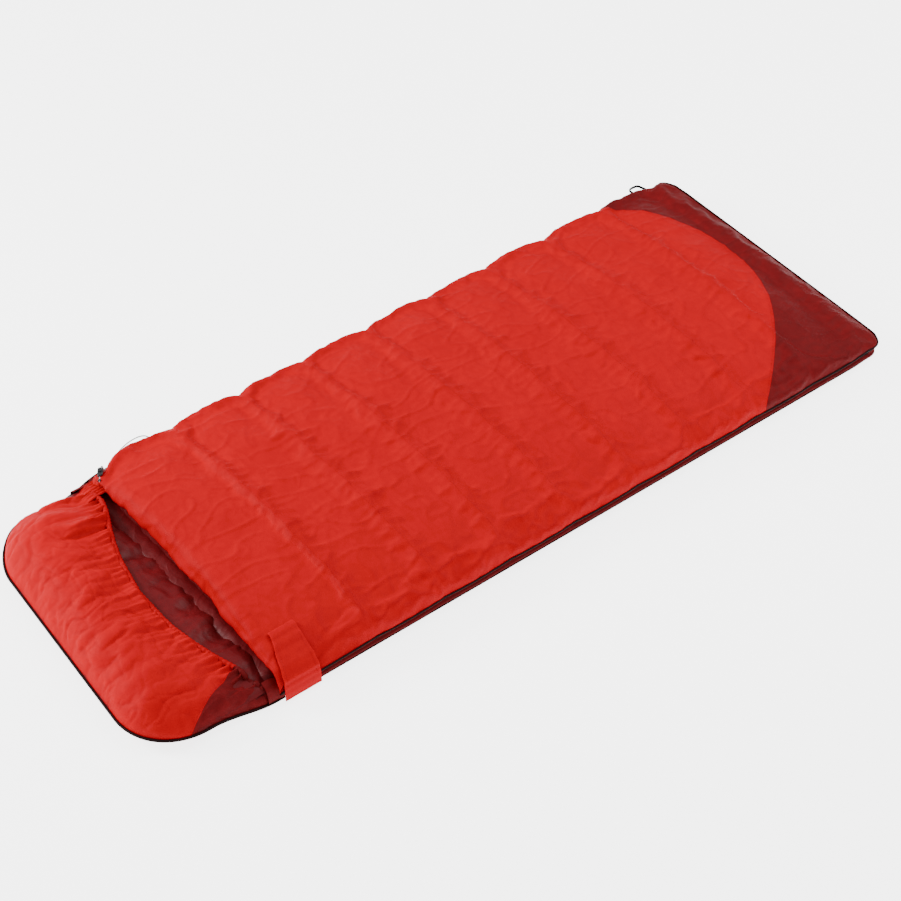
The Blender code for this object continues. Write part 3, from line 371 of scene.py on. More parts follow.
def fill_cover(obj, held, press, growth, cap, frames=22):
    """Swells a cover as down does: its held points stay, and the slack in the rest folds into creases.

    press is the filling's push, growth the slack in the cloth, and cap the furthest a point may move.
    """
    start = points_of(obj)
    group = obj.vertex_groups.new(name="held")
    group.add([int(i) for i in np.flatnonzero(held)], 1.0, "REPLACE")
    cloth = obj.modifiers.new("down", "CLOTH")
    facts = cloth.settings
    facts.quality = 4
    facts.mass = 0.15
    facts.tension_stiffness = facts.compression_stiffness = 12.0
    facts.shear_stiffness = 4.0
    facts.bending_stiffness = 0.02
    facts.air_damping = 2.0
    facts.vertex_group_mass = "held"
    facts.pin_stiffness = 50.0
    facts.use_pressure = True
    facts.uniform_pressure_force = press
    facts.shrink_min = -growth
    facts.effector_weights.gravity = 0.0
    cloth.point_cache.frame_end = frames
    for at in range(1, frames + 1):
        bpy.context.scene.frame_set(at)
    settle(obj)
    bpy.context.scene.frame_set(1)
    step = points_of(obj) - start
    far = np.linalg.norm(step, axis=1, keepdims=True)
    step *= np.minimum(1.0, cap / np.maximum(far, 1e-9))
    step[held] = 0.0
    obj.vertex_groups.clear()
    move_to(obj, start + step)


def smoother(obj):
    """Rounds a mesh off once."""
    more = obj.modifiers.new("smooth", "SUBSURF")
    more.levels = more.render_levels = 1
    settle(obj)


LUMPS_PER_M, SMALL_LUMPS_PER_M = 11.0, 24.0
CREASES_PER_M, SMALL_CREASES_PER_M = 17.0, 31.0
BENDS_PER_M, BEND_FAR = 9.0, 0.020


def crumple(obj, lumps, folds, room, seed=0.0):
    """Uneven filling and soft folds: lumps a hand wide, and creases where the fabric turns.

    lumps and folds are heights in metres, and room(points) says how much of them each place takes.
    """
    points = points_of(obj)
    normals = np.empty(len(points) * 3)
    obj.data.vertices.foreach_get("normal", normals)
    normals = normals.reshape(-1, 3)
    lump = wander(points, LUMPS_PER_M, seed) + 0.5 * wander(points, SMALL_LUMPS_PER_M, seed + 5.0)
    aside, along = (wander(points, BENDS_PER_M, seed + more) for more in (1.0, 2.0))
    bent = points + BEND_FAR * np.stack([aside, along, 0 * along], 1)
    one = wander(bent * np.array([1.0, 0.55, 1.0]), CREASES_PER_M, seed + 3.0)
    two = wander(bent * np.array([0.6, 1.0, 1.0]), SMALL_CREASES_PER_M, seed + 4.0)
    large = np.maximum(0, 1 - np.abs(one) * 5.0) ** 1.3
    small = np.maximum(0, 1 - np.abs(two) * 4.5) ** 1.3
    crease = -large - 0.55 * small
    lift = (lumps * lump + folds * crease) * room(points)
    move_to(obj, points + normals * lift[:, None])


cover = surface("top_cover", top_points, RED_TAFFETA)
fill_cover(cover, held.ravel(), press=3.4, growth=0.024, cap=0.020)
smoother(cover)


def off_edges(p):
    """Full relief on the top of the quilt, fading towards its zip edge, far edge and foot."""
    sides = ramp((p[:, 2] - 0.036) / 0.030)
    return sides * ramp((FOOT - p[:, 1]) / 0.08)


crumple(cover, lumps=0.0028, folds=0.0022, room=off_edges)
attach(cover, "top_quilt")
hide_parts("top_shell", "top_fill", "head_band")


# ---- Foot panel ----------------------------------------------------------------------------------
# The foot of the quilt is cut from maroon nylon, set in along a seam that bows towards the foot, so
# the cover is parted along that bow.
# Nylon taffeta again, dyed maroon: darker, and a little shinier where it catches the light.
MAROON_TAFFETA = fabric("maroon_nylon_taffeta", "7c1317", "6c0f13", 0.60, 0.02, 0.24, gloss=0.08)
ARC_TOP, ARC_DROP, ARC_X = FOOT - 0.095, 0.2214, -0.070


def arc_line(x):
    return ARC_TOP - ARC_DROP * ((x - ARC_X) / HALF_WIDTH) ** 2


def parted(obj, name, side, mat):
    """Cuts a cover where side(point) is zero; the positive part becomes a piece of its own."""
    bm = bmesh.new()
    bm.from_mesh(obj.data)
    value = {v: side(v.co) for v in bm.verts}
    fresh = []
    for edge in list(bm.edges):
        a, b = edge.verts
        if value[a] * value[b] < 0:
            fresh.append(bmesh.utils.edge_split(edge, a, value[a] / (value[a] - value[b]))[1])
    bmesh.ops.connect_verts(bm, verts=fresh)
    beyond = [face for face in bm.faces if side(face.calc_center_median()) > 0]
    kept = bm.copy()
    kept.faces.ensure_lookup_table()
    numbers = {face.index for face in beyond}
    bm.faces.ensure_lookup_table()
    bmesh.ops.delete(kept, geom=[kept.faces[i] for i in numbers], context="FACES")
    bmesh.ops.delete(bm, geom=[face for face in bm.faces if face.index not in numbers], context="FACES")
    mesh = bpy.data.meshes.new(name)
    bm.to_mesh(mesh)
    kept.to_mesh(obj.data)
    bm.free()
    kept.free()
    mesh.materials.append(mat)
    mesh.polygons.foreach_set("use_smooth", [True] * len(mesh.polygons))
    return placed(name, mesh)


foot_cover = parted(cover, "foot_panel_cover", lambda p: p.y - arc_line(p.x), MAROON_TAFFETA)
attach(foot_cover, "top_quilt")
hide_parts("foot_panel")


# ---- Stitching -----------------------------------------------------------------------------------
# Lockstitch in red thread: one row holds each quilting seam, and two rows run beside the bowed seam.
# Spun polyester thread, a darker red than the cloth, with a sheen across its twist. The real thread
# is 0.3 mm thick and would not show, so it is drawn about twice as thick.
THREAD_RED = fabric(
    "red_polyester_thread", "a80408", "900306", 0.5, 0.1, 0.0, thread=0.0003, depth=0.00012, gloss=0.2)
STITCH_PITCH, STITCH_SHARE, STITCH_TIP = 0.0038, 0.68, 0.12
THREAD_R, THREAD_FLAT, THREAD_TAUT = 0.00042, 0.7, 0.8


def draped(obj, path, lift):
    """A path laid on a piece from above, this far over it."""
    tree = BVHTree.FromObject(obj, bpy.context.evaluated_depsgraph_get())
    found = []
    for x, y in path:
        hit, normal, _, _ = tree.ray_cast(Vector((x, y, 1.0)), Vector((0, 0, -1)))
        if hit is not None:
            normal = normal if normal.z > 0 else -normal
            found.append(hit + normal * lift)
    return found


def even(path, step):
    """Places this far apart along a path."""
    path = np.array([list(p) for p in path])
    length = lengths(path)
    at = np.arange(step / 2, length[-1], step)
    return np.stack([np.interp(at, length, path[:, k]) for k in range(3)], axis=1)


def sewn(name, paths, body):
    """Stitches of thread: short raised spindles along each path, one every pitch."""
    verts, faces = [], []
    for path in paths:
        at = even(path, STITCH_PITCH)
        for a, b in zip(at, at[1:]):
            way = b - a
            long = np.linalg.norm(way)
            if long > 2 * STITCH_PITCH:
                continue
            way = way / long
            side = np.cross(way, (0, 0, 1.0))
            if np.linalg.norm(side) < 0.2:
                side = np.cross(way, (1.0, 0, 0))
            side = side / np.linalg.norm(side)
            up = np.cross(side, way)
            first = len(verts)
            verts.append(a)
            for along in (STITCH_TIP, STITCH_SHARE - STITCH_TIP):
                for x, z in ((1, 0), (0, 1), (-1, 0), (0, -1)):
                    off = side * x * THREAD_R + up * z * THREAD_R * THREAD_FLAT
                    verts.append(a + way * STITCH_PITCH * along + off * THREAD_TAUT)
            verts.append(a + way * STITCH_PITCH * STITCH_SHARE)
            for k in range(4):
                n = (k + 1) % 4
                faces.append((first, first + 1 + k, first + 1 + n))
                faces.append((first + 1 + k, first + 5 + k, first + 5 + n, first + 1 + n))
                faces.append((first + 9, first + 5 + n, first + 5 + k))
    made = mesh_of(name, [tuple(v) for v in verts], faces, THREAD_RED)
    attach(made, body)


quilting_xs = np.linspace(-0.385, 0.385, 220)
quilting = []
for seam in SEAMS[:-2]:
    strayed = [(x, seam + SEAM_STRAY * wander([x, seam, 0], STRAYS_PER_M, STRAY_SEED)) for x in quilting_xs]
    quilting.append(draped(cover, strayed, 0.0001))
sewn("quilting_stitches", quilting, "top_quilt")
arc_xs = np.linspace(-0.398, 0.398, 260)
arc_rows = [draped(cover, [(x, arc_line(x) - off) for x in arc_xs], lift)
            for off, lift in ((0.003, 0.0004), (0.008, 0.0003))]
sewn("arc_stitches", arc_rows, "top_quilt")


# ---- Linings of both quilts ----------------------------------------------------------------------
# The inside is maroon satin, sewn across on the same seams as the covers; both sheets are filled
# from behind and crease freely.
# Satin-woven nylon: smoother than the taffeta, so it shines along its folds.
SATIN_LINING = fabric(
    "maroon_satin_lining", "741419", "661015", 0.44, 0.05, 0.40, thread=0.00030, gloss=0.16)
LINING_INSET, LINING_STEP, LINING_PRESS = 0.0015, 0.014, 2.0
LINING_STRAY, LINING_SWELL = 0.004, 0.004
BED_Z, BED_RISE_NEAR, BED_RISE_FAR = 0.0425, 0.040, 0.060


def lining_columns(y):
    """Places across the bag, closer together at its sides."""
    reach = HALF_WIDTH - EDGE_IN - LINING_INSET - draw_in(y)
    u = np.linspace(-1, 1, 62)
    return reach * (0.82 * u + 0.18 * np.sin(u * math.pi / 2))


def lined(name, rows, place, way, growth, cap):
    """A lining laid out by rows along the bag and columns across it, swelling up or down."""
    grid = np.array([[place(x, y) for x in lining_columns(y)] for y in rows])
    stitched = np.array([on_seam(y) for y in rows])
    grid[:, :, 1] += LINING_STRAY * wander(grid, 13.0, 5.0) * stitched[:, None]
    held = np.zeros(grid.shape[:2], bool)
    held[stitched, :] = held[0, :] = held[-1, :] = held[:, 0] = held[:, -1] = True
    if way < 0:
        grid, held = grid[:, ::-1], held[:, ::-1]
    made = surface(name, grid, SATIN_LINING)
    fill_cover(made, held.ravel(), LINING_PRESS, growth, cap)
    smoother(made)
    return made


def rows_between(start, end, step):
    """Places along the bag, with one exactly on each seam."""
    stops = [start, *[s for s in SEAMS if start < s < end], end]
    found = []
    for low, high in zip(stops, stops[1:]):
        count = max(2, round((high - low) / step))
        found += list(low + (high - low) * np.linspace(0, 1, count + 1)[:-1])
    return found + [end]


def ceiling(x, y):
    """The inner side of the top quilt."""
    z = float(under_row(y, np.array([x]))[0])
    flat = min(1.0, max(0.0, (0.40 - abs(x)) / 0.08))
    return (x, y, z - LINING_SWELL * swell(y) * flat * float(foot_taper(y)))


def bed(x, y):
    """The inner side of the bottom quilt."""
    taper = float(foot_taper(y))
    edge = float(across(x, ZIP_Z - ZIP_ROOM, HINGE_Z - HINGE_ROOM))
    into = min(1.0, max(0.0, (HALF_WIDTH - abs(x)) / (BED_RISE_NEAR if x > 0 else BED_RISE_FAR)))
    level = BED_Z + LINING_SWELL * swell(y) * into
    return (x, y, edge + (level - edge) * taper * float(ramp(into)))


top_rows = rows_between(HEAD_EDGE + HEAD_ROLL, FOOT_SEWN, LINING_STEP)
top_lining = lined("top_lining_sheet", top_rows, ceiling, way=-1, growth=0.012, cap=0.010)
# Behind the head edge the lining lies nearly flat.
FLAT_Z, FLATTENED = 0.0705, 0.85
eased = points_of(top_lining)
to_head_line(eased)
by_head = ramp((HEAD_EDGE + 0.120 - eased[:, 1]) / 0.100) * ramp((0.385 - np.abs(eased[:, 0])) / 0.050)
eased[:, 2] += FLATTENED * by_head * (FLAT_Z - eased[:, 2])
move_to(top_lining, eased)
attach(top_lining, "top_quilt")
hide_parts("top_lining")

NECK = -0.7605            # where the hood is sewn to the bottom quilt
BAG_START = NECK + 0.002
bed_rows = rows_between(BAG_START, FOOT_SEWN, LINING_STEP)
bed_lining = lined("bottom_lining_sheet", bed_rows, bed, way=1, growth=0.014, cap=0.012)
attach(bed_lining, "base")
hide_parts("bottom_lining")


# ---- Bottom quilt --------------------------------------------------------------------------------
# The quilt under the sleeper: maroon taffeta filled with down, a puffed side under the zip, a flat
# quilted underside, and a far edge that turns up to the fold where the top quilt is sewn on.
UNDER_SEAM_RISE, UNDERSIDE_Z = 0.0055, 0.0004
SIDE_PUFF, SIDE_CREASE, CREASED_FROM, CREASED_TO = 0.0070, 0.0016, 0.0035, 0.019


def section(corners, count):
    """Even points along a line through corners, with the corners rounded off."""
    corners = np.asarray(corners, float)
    for _ in range(3):
        first, last = corners[:1], corners[-1:]
        a = corners[:-1] * 0.75 + corners[1:] * 0.25
        b = corners[:-1] * 0.25 + corners[1:] * 0.75
        corners = np.concatenate([first, np.stack([a, b], axis=1).reshape(-1, corners.shape[1]), last])
    length = lengths(corners)
    at = np.linspace(0, length[-1], count)
    return np.stack([np.interp(at, length, corners[:, k]) for k in range(corners.shape[1])], axis=1)


FAR_TOP = HINGE_Z - HINGE_ROOM


def tub_row(y):
    """The outer side of the bottom quilt, from the zip under the bag to the far edge."""
    corner, puff, taper = draw_in(y), swell(y), float(foot_taper(y))
    near, far = HALF_WIDTH - EDGE_IN - corner, -HALF_WIDTH + EDGE_IN + corner
    side = near + SIDE_PUFF * (0.80 + 0.20 * puff)
    under = UNDERSIDE_Z + UNDER_SEAM_RISE * (1 - puff)
    side_points = section([
        (near, 0.0200), (near + 0.0004, 0.0150), (side, 0.0125), (side, 0.0030), (near - 0.006, UNDERSIDE_Z),
        (near - 0.030, under),
    ], 16)
    middle = [(x, under) for x in np.linspace(near - 0.045, far + 0.060, 42)]
    rise = section([
        (far + 0.045, under), (far + 0.030, UNDERSIDE_Z), (far + 0.004, 0.020), (far, FAR_TOP),
    ], 10)
    row = np.concatenate([side_points, middle, rise])
    return np.stack([row[:, 0], np.full(len(row), y), row[:, 1]], axis=1)


TUB_STEP = 0.013
tub_rows = np.array([tub_row(y) for y in rows_between(BAG_START, FOOT_SEWN, TUB_STEP)])
creased = wander(tub_rows * np.array([1.0, 0.45, 1.0]), 40.0, 2.0) * (tub_rows[:, :, 2] > CREASED_FROM)
tub_rows[:, :, 0] += SIDE_CREASE * creased * np.sign(tub_rows[:, :, 0]) * (tub_rows[:, :, 2] < CREASED_TO)
tub = surface("bottom_cover", tub_rows[:, ::-1], MAROON_TAFFETA)
smoother(tub)
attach(tub, "base")
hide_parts("bottom_shell", "bottom_fill")


def around_foot(out, low_y, far_y):
    """A line round the foot, this far outside the outline, from low_y near the zip to far_y beyond."""
    turn = np.linspace(0, math.pi / 2, 12)
    reach, corner = HALF_WIDTH + out, CORNER_R + out
    near = [(reach, y) for y in np.linspace(low_y, FOOT - CORNER_R, 160)[:-1]]
    near += list(zip(HALF_WIDTH - CORNER_R + corner * np.cos(turn), FOOT - CORNER_R + corner * np.sin(turn)))
    far = [(-reach, y) for y in np.linspace(FOOT - CORNER_R, far_y, 60)[1:]]
    middle = [(x, FOOT + out) for x in np.linspace(HALF_WIDTH - CORNER_R, CORNER_R - HALF_WIDTH, 90)[1:-1]]
    bend = [(-x, y) for x, y in near[-12:][::-1]]
    return np.array(near + middle + bend + far)


# The foot end is a maroon wall from the ground up to the zip.
WALL_FROM, WALL_BULGE, WALL_IN = FOOT - 0.046, 0.0030, 0.0012
WALL_NEAR, WALL_CREASE = 0.0212, 0.0011
wall = []
for v in np.linspace(0, 1, 12):
    line = around_foot(WALL_BULGE * math.sin(math.pi * v) ** 0.7 - WALL_IN, WALL_FROM, WALL_FROM)
    high = across(line[:, 0], WALL_NEAR, FAR_TOP)
    at = np.column_stack([line, UNDERSIDE_Z + (high - UNDERSIDE_Z) * v])
    at[:, 1] += WALL_CREASE * wander(at, 30.0, 4.0) * math.sin(math.pi * v)
    wall.append(at)
foot_wall = surface("foot_wall_cover", np.array(wall), MAROON_TAFFETA)
smoother(foot_wall)
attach(foot_wall, "base")


# ---- Piping --------------------------------------------------------------------------------------
# Corded piping, folded taffeta over a cord 4 to 6 mm thick, is caught in the bag's edge seams:
# round the quilt over the zip, along the ground, and along the fold on the far side.
# Dark taffeta stretched over cord: almost black, matt, with the weave showing.
DARK_PIPING = fabric(
    "dark_cord_piping", "2e0a0c", "1c0607", 0.60, 0.0, 0.1, thread=0.0004, depth=0.0001, gloss=0.1)


def heading(path):
    """The direction of a path at each of its points."""
    ahead = np.gradient(path, axis=0)
    return ahead / np.linalg.norm(ahead, axis=1, keepdims=True)


def tube(name, path, radius, mat, sides=10, ripple=None):
    """A round tube along a path; ripple(length along, turn) changes its radius."""
    path = np.array([list(p) for p in path])
    ahead = heading(path)
    side = np.cross(ahead, (0, 0, 1.0))
    side /= np.maximum(np.linalg.norm(side, axis=1, keepdims=True), 1e-6)
    up = np.cross(side, ahead)
    length = lengths(path)
    turns = 2 * math.pi * np.arange(sides) / sides
    size = np.full((len(path), sides), radius)
    if ripple is not None:
        size = np.array([[radius + ripple(s, t) for t in turns] for s in length])
    rings = path[:, None] + size[..., None] * (
        side[:, None] * np.cos(turns)[None, :, None] + up[:, None] * np.sin(turns)[None, :, None])
    ends = np.stack([np.repeat(path[:1], sides, 0), np.repeat(path[-1:], sides, 0)])
    return surface(name, np.concatenate([ends[:1], rings, ends[1:]]), mat, ring=True)


# The quilt's own piping starts at the rolled head corner, whose rows count as place 0, runs straight
# on under the flap to PIPING_START, and follows the edge to the far corner of the foot.
PIPING_START, PIPING_END, PIPING_TURN = -0.660, FOOT - 0.002, FOOT - 0.035
QUILT_PIPING_R, GROUND_PIPING_R, FAR_PIPING_R = 0.0025, 0.0021, 0.0027
beside = (row_places > PIPING_START) & (row_places < PIPING_END)
turned = row_places > PIPING_TURN
hem_line = np.concatenate([top_points[beside][:, 0], top_points[-1, :], top_points[turned][::-1][1:, -1]])
hem_line = section(hem_line + np.array([0, 0.0008, 0.0006]), 620)
hem_line[:, 0] += 0.0010 * np.sign(hem_line[:, 0])
quilt_piping = tube("quilt_piping_cord", hem_line, QUILT_PIPING_R, DARK_PIPING, 10)
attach(quilt_piping, "top_quilt")

# Along the ground it starts at the neck, stands further out beside the puffed side, and ends at the
# far side of the foot.
GROUND_OUT, BESIDE_OUT, GROUND_STOP, GROUND_Z = 0.0010, 0.0032, -0.345, 0.0030
ground_ring = around_foot(GROUND_OUT, NECK - 0.001, FOOT - 0.050)
ground_ring[:, 0] += BESIDE_OUT * ramp((FOOT - 0.045 - ground_ring[:, 1]) / 0.060)
ground_ring = ground_ring[ground_ring[:, 0] > GROUND_STOP]
ground = np.column_stack([ground_ring, np.full(len(ground_ring), GROUND_Z)])
ground_piping = tube("ground_piping_cord", ground, GROUND_PIPING_R, DARK_PIPING, 10)
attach(ground_piping, "base")
far_line = [(-HALF_WIDTH + EDGE_IN, y, HINGE_Z) for y in np.linspace(-0.625, FOOT - CORNER_R, 200)]
far_piping = tube("far_piping_cord", far_line, FAR_PIPING_R, DARK_PIPING, 10)
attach(far_piping, "base")
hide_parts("far_piping")


# ---- Draught tube --------------------------------------------------------------------------------
# A thin tube of lining filled with down is sewn inside the top quilt along the zip, and keeps
# draughts out.
TUBE_R, TUBE_IN, TUBE_Z = 0.0043, 0.0136, 0.0397
TUBE_START, TUBE_STOP = -0.674, 0.875


def slack_tube(s, turn):
    return 0.0004 * math.sin(s * 95) + 0.0006 * noise.noise(Vector((s * 22, math.cos(turn), math.sin(turn))))


draft_line = [(HALF_WIDTH - TUBE_IN, y, TUBE_Z) for y in np.linspace(TUBE_START, TUBE_STOP, 260)]
draft = tube("draught_tube_cover", draft_line, TUBE_R, SATIN_LINING, 12, slack_tube)
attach(draft, "top_quilt")
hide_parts("draft_tube")


# ---- Hood ----------------------------------------------------------------------------------------
# A crescent of the same red quilt, filled with down and gathered by the drawcord in its face hem.
# Its outline has round corners, and its end slants, so the near side reaches further out.
HOOD_END, HOOD_HALF, HOOD_CORNER_R = NECK - 0.3445, 0.397, 0.150
HOOD_SEAM, HOOD_LOW, HOOD_CROWN = 0.028, 0.0283, 0.105
HOOD_INNER, HOOD_BACK = 0.064, 0.042
HOOD_FALL, HOOD_ROLL = 0.125, 0.010
FACE_LEAST, FACE_DEPTH, FACE_X, FACE_HALF = 0.025, 0.102, 0.070, 0.360
HOOD_SLANT, SLANT_FROM = 0.078, HOOD_HALF - 0.100
FACE_FAR = NECK - FACE_LEAST - FACE_DEPTH


def face_line(x):
    u = (x - FACE_X) / FACE_HALF
    return NECK - FACE_LEAST - FACE_DEPTH * np.maximum(0.0, 1 - u * u)


def hood_end(x):
    into = np.maximum(np.abs(x) - HOOD_HALF + HOOD_CORNER_R, 0)
    return HOOD_END + HOOD_CORNER_R - np.sqrt(np.maximum(HOOD_CORNER_R ** 2 - into ** 2, 0))


def slanted(points):
    """The far side of the hood reaches out less than its near side."""
    share = ramp((FACE_FAR - points[..., 1]) / (FACE_FAR - HOOD_END))
    points[..., 1] += HOOD_SLANT * share * (SLANT_FROM - points[..., 0])
    return points


def hood_dome(x, y, low, high, edge_power=0.5):
    """Height of the hood over its sewn edge, thickest well inside the outline."""
    sides = np.maximum(0, 1 - np.abs(x / HOOD_HALF) ** 3.2) ** edge_power
    share = np.clip((hood_end(x) + HOOD_FALL - y) / HOOD_FALL, 0, 1)
    return low + (high - low) * sides * np.maximum(0, 1 - share ** 2.4) ** 0.62


def hood_columns(count):
    u = np.linspace(-1, 1, count)
    return HOOD_HALF * (0.55 * np.sin(u * math.pi / 2) + 0.45 * u)


# Tight pleats start at the drawcord and die out; looser folds run on over the crown.
PLEAT, PLEAT_DEEP, PLEAT_FADE = 0.0190, 0.0030, 0.030
LOOSE_DEEP, LOOSE_FADE = 0.0150, 0.110
hood_x = hood_columns(190)
shares = np.linspace(0, 1, 34) ** 1.15
gx = np.broadcast_to(hood_x, (len(shares), len(hood_x)))
gy = face_line(gx) + (hood_end(gx) - face_line(gx)) * shares[:, None]
full = 0.74 + 0.26 * ramp(shares[:, None] / 0.45)
gz = HOOD_LOW + (hood_dome(gx, gy, HOOD_LOW, HOOD_CROWN) - HOOD_LOW) * full
along = np.concatenate([[0], np.cumsum(np.hypot(np.diff(hood_x), np.diff(face_line(hood_x))))])
away = face_line(gx) - gy
ends = 1 + 1.1 * ramp((np.abs(gx - 0.05) - 0.17) / 0.16)
path = np.stack([np.broadcast_to(along, gx.shape), away * 0.25, 0 * away], axis=-1)
phase = along + 0.010 * wander(path, 22.0, 1.0)
tight = np.sin(2 * math.pi * phase / PLEAT) * np.exp(-away / PLEAT_FADE) * PLEAT_DEEP
loose = wander(path, 30.0, 4.0) * np.exp(-away / LOOSE_FADE) * LOOSE_DEEP
inner = np.minimum(1, np.minimum((HOOD_HALF - np.abs(gx)) / 0.03, (gy - hood_end(gx)) / 0.03))
gz = gz + (tight + loose) * ends * np.clip(inner, 0, 1)
crown = np.stack([gx, gy, gz], axis=-1)
rolls = []
for turn in np.linspace(0, math.pi * 0.62, 7)[1:]:
    roll = crown[0].copy()
    depth = np.maximum(roll[:, 2] - HOOD_INNER, 0.004)
    roll[:, 1] = roll[:, 1] + HOOD_ROLL * math.sin(turn)
    roll[:, 2] = roll[:, 2] - depth * (1 - math.cos(turn)) / 2
    rolls.append(roll)


SEAM_OUT, SEAM_DOWN = 0.0085, 0.0235


def seam_drop(points):
    """The hood's seam comes down to the ground and out beside the zip, where it meets the bag."""
    by_neck = ramp((points[..., 1] - NECK + 0.190) / 0.170) * ramp((points[..., 0] - 0.310) / 0.080)
    low = ramp((0.066 - points[..., 2]) / 0.036) * by_neck
    down = SEAM_DOWN * low * ramp(points[..., 2] / HOOD_SEAM)
    return points + np.stack([SEAM_OUT * low, 0 * low, -down], axis=-1)


hood_points = seam_drop(slanted(np.concatenate([np.array(rolls[::-1]), crown])))
held = np.zeros(hood_points.shape[:2], bool)
held[:len(rolls) + 1, :] = held[-1, :] = held[:, 0] = held[:, -1] = True
hood = surface("hood_cover", hood_points[:, ::-1], RED_TAFFETA)
fill_cover(hood, held[:, ::-1].ravel(), press=3.0, growth=0.022, cap=0.014)
smoother(hood)
crumple(hood, lumps=0.0030, folds=0.0024, room=lambda p: ramp((p[:, 2] - 0.030) / 0.030), seed=7.0)
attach(hood, "hood")
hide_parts("hood_shell", "hood_fill", "face_band")


# The hood's inside is the same satin: a filled sheet under the sleeper's head, and a thin one that
# lines the crown.
def hood_sheet(start_of, height_of, wrinkle, seed):
    """An inner sheet of the hood between its face line or neck and its end."""
    x = hood_columns(90) * 0.997
    shares = np.linspace(0, 1, 34)
    start = start_of(x)
    grid_x = np.broadcast_to(x, (len(shares), len(x)))
    grid_y = start + (hood_end(grid_x) + 0.001 - start) * shares[:, None]
    grid_z = height_of(grid_x, grid_y)
    from_edge = np.minimum(HOOD_HALF - np.abs(grid_x), grid_y - hood_end(grid_x))
    inner = np.clip(from_edge / 0.05, 0, 1)
    at = np.stack([grid_x, grid_y, 0 * grid_x], axis=-1)
    grid_z = grid_z + wrinkle * inner * wander(at * np.array([1.0, 0.5, 1.0]), 19.0, seed)
    return slanted(np.stack([grid_x, grid_y, grid_z], axis=-1))


BACK_PUFF = 0.010


def back_height(x, y):
    rise = hood_dome(x, y, HOOD_SEAM, HOOD_BACK, 0.35)
    sides = ramp((HOOD_HALF - np.abs(x)) / 0.10)
    return rise + BACK_PUFF * ramp((NECK - y) / 0.05) * sides * ramp((y - HOOD_END) / 0.12)


back_points = hood_sheet(lambda x: np.full_like(x, NECK - 0.002), back_height, 0.0060, 6.0)
hood_bed = surface("hood_back_lining_sheet", back_points[:, ::-1], SATIN_LINING)
edge_held = np.zeros(back_points.shape[:2], bool)
edge_held[0, :] = edge_held[-1, :] = edge_held[:, 0] = edge_held[:, -1] = True
fill_cover(hood_bed, edge_held[:, ::-1].ravel(), press=1.6, growth=0.035, cap=0.016)
smoother(hood_bed)
crumple(hood_bed, lumps=0.0020, folds=0.0030, room=lambda p: ramp((p[:, 2] - 0.036) / 0.010), seed=3.0)
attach(hood_bed, "hood")
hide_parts("hood_back_lining", "hood_back_fill")


def vault_height(x, y):
    return hood_dome(x, y, HOOD_LOW, HOOD_INNER, 0.3)


vault_points = hood_sheet(lambda x: face_line(x) + 0.004, vault_height, 0.003, 9.0)
hood_vault = surface("hood_lining_sheet", vault_points, SATIN_LINING)
smoother(hood_vault)
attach(hood_vault, "hood")
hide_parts("hood_lining")


# The underside of the hood is a flat maroon panel that turns up to the piping.
TURN_UP = 0.034
under_x = hood_columns(90) * 0.999
under_share = np.linspace(0, 1, 30)
ux = np.broadcast_to(under_x, (len(under_share), len(under_x)))
uy = NECK - 0.002 + (hood_end(ux) + 0.0006 - NECK + 0.002) * under_share[:, None]
near_edge = np.minimum(HOOD_HALF - np.abs(ux), uy - hood_end(ux))
uz = 0.0005 + (HOOD_SEAM - 0.0008) * np.clip(1 - near_edge / TURN_UP, 0, 1) ** 1.3
under = surface("hood_back_cover", seam_drop(slanted(np.stack([ux, uy, uz], axis=-1))), MAROON_TAFFETA)
smoother(under)
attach(under, "hood")
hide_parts("hood_back_shell")


# The near side of the hood is a maroon band that narrows towards its end.
BAND_X, BAND_NARROWS, BAND_FROM, BAND_OVER = 0.300, 0.108, -0.815, 0.225


def band_share(y):
    return min(1.0, max(0.0, (BAND_FROM - y) / BAND_OVER)) ** 0.8


side_band = parted(
    hood, "hood_side_band", lambda p: p.x - BAND_X - BAND_NARROWS * band_share(p.y), MAROON_TAFFETA)
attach(side_band, "hood")
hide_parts("face_band")
band_path = [(BAND_X + BAND_NARROWS * band_share(y) - 0.003, y) for y in np.linspace(-0.80, -1.03, 90)]
sewn("band_stitches", [draped(hood, band_path, 0.0003)], "hood")


# ---- Face hem and hood piping --------------------------------------------------------------------
# The casing of the drawcord: a tube of taffeta sewn round the face opening and gathered all along,
# maroon at its near end. It follows the frame's own cord, and dark piping edges it.
CASING_R, HEM_PIPING_R, HEM_END_X = 0.0062, 0.0019, 0.318
GATHER, GATHER_DEEP, GATHER_STRAY = 0.0115, 0.0008, 0.004
hem_x = np.linspace(0.388, -0.345, 310)
# The middle of each ring of the cord's mesh gives its path; past its near end the hem follows the
# face opening.
RING_GAP = 0.0025
cord_points = points_of(nodes["drawcord"])
cord_points = cord_points[np.argsort(cord_points[:, 0])]
gaps = np.where(np.diff(cord_points[:, 0]) > RING_GAP)[0] + 1
middles = np.array([group.mean(axis=0) for group in np.split(cord_points, gaps)])
corded = np.stack([np.interp(hem_x, middles[:, 0], middles[:, k]) for k in range(3)], axis=1)
beyond = ramp((hem_x - 0.325) / 0.030)
hem_y = corded[:, 1] * (1 - beyond) + (face_line(hem_x) + 0.0030) * beyond
hem_z = np.interp(hem_x, hood_x, hood_points[len(rolls), :, 2]) - 0.0015
hem_z = corded[:, 2] * (1 - beyond) + np.clip(hem_z, 0.044, 0.064) * beyond


def gathers(s, turn):
    """Pleats round the casing, unevenly spaced and uneven in height."""
    pleat = math.sin(2 * math.pi * (s + GATHER_STRAY * noise.noise(Vector((s * 30, 0, 0)))) / GATHER)
    return GATHER_DEEP * pleat + GATHER_DEEP * noise.noise(Vector((s * 60, turn, 3)))


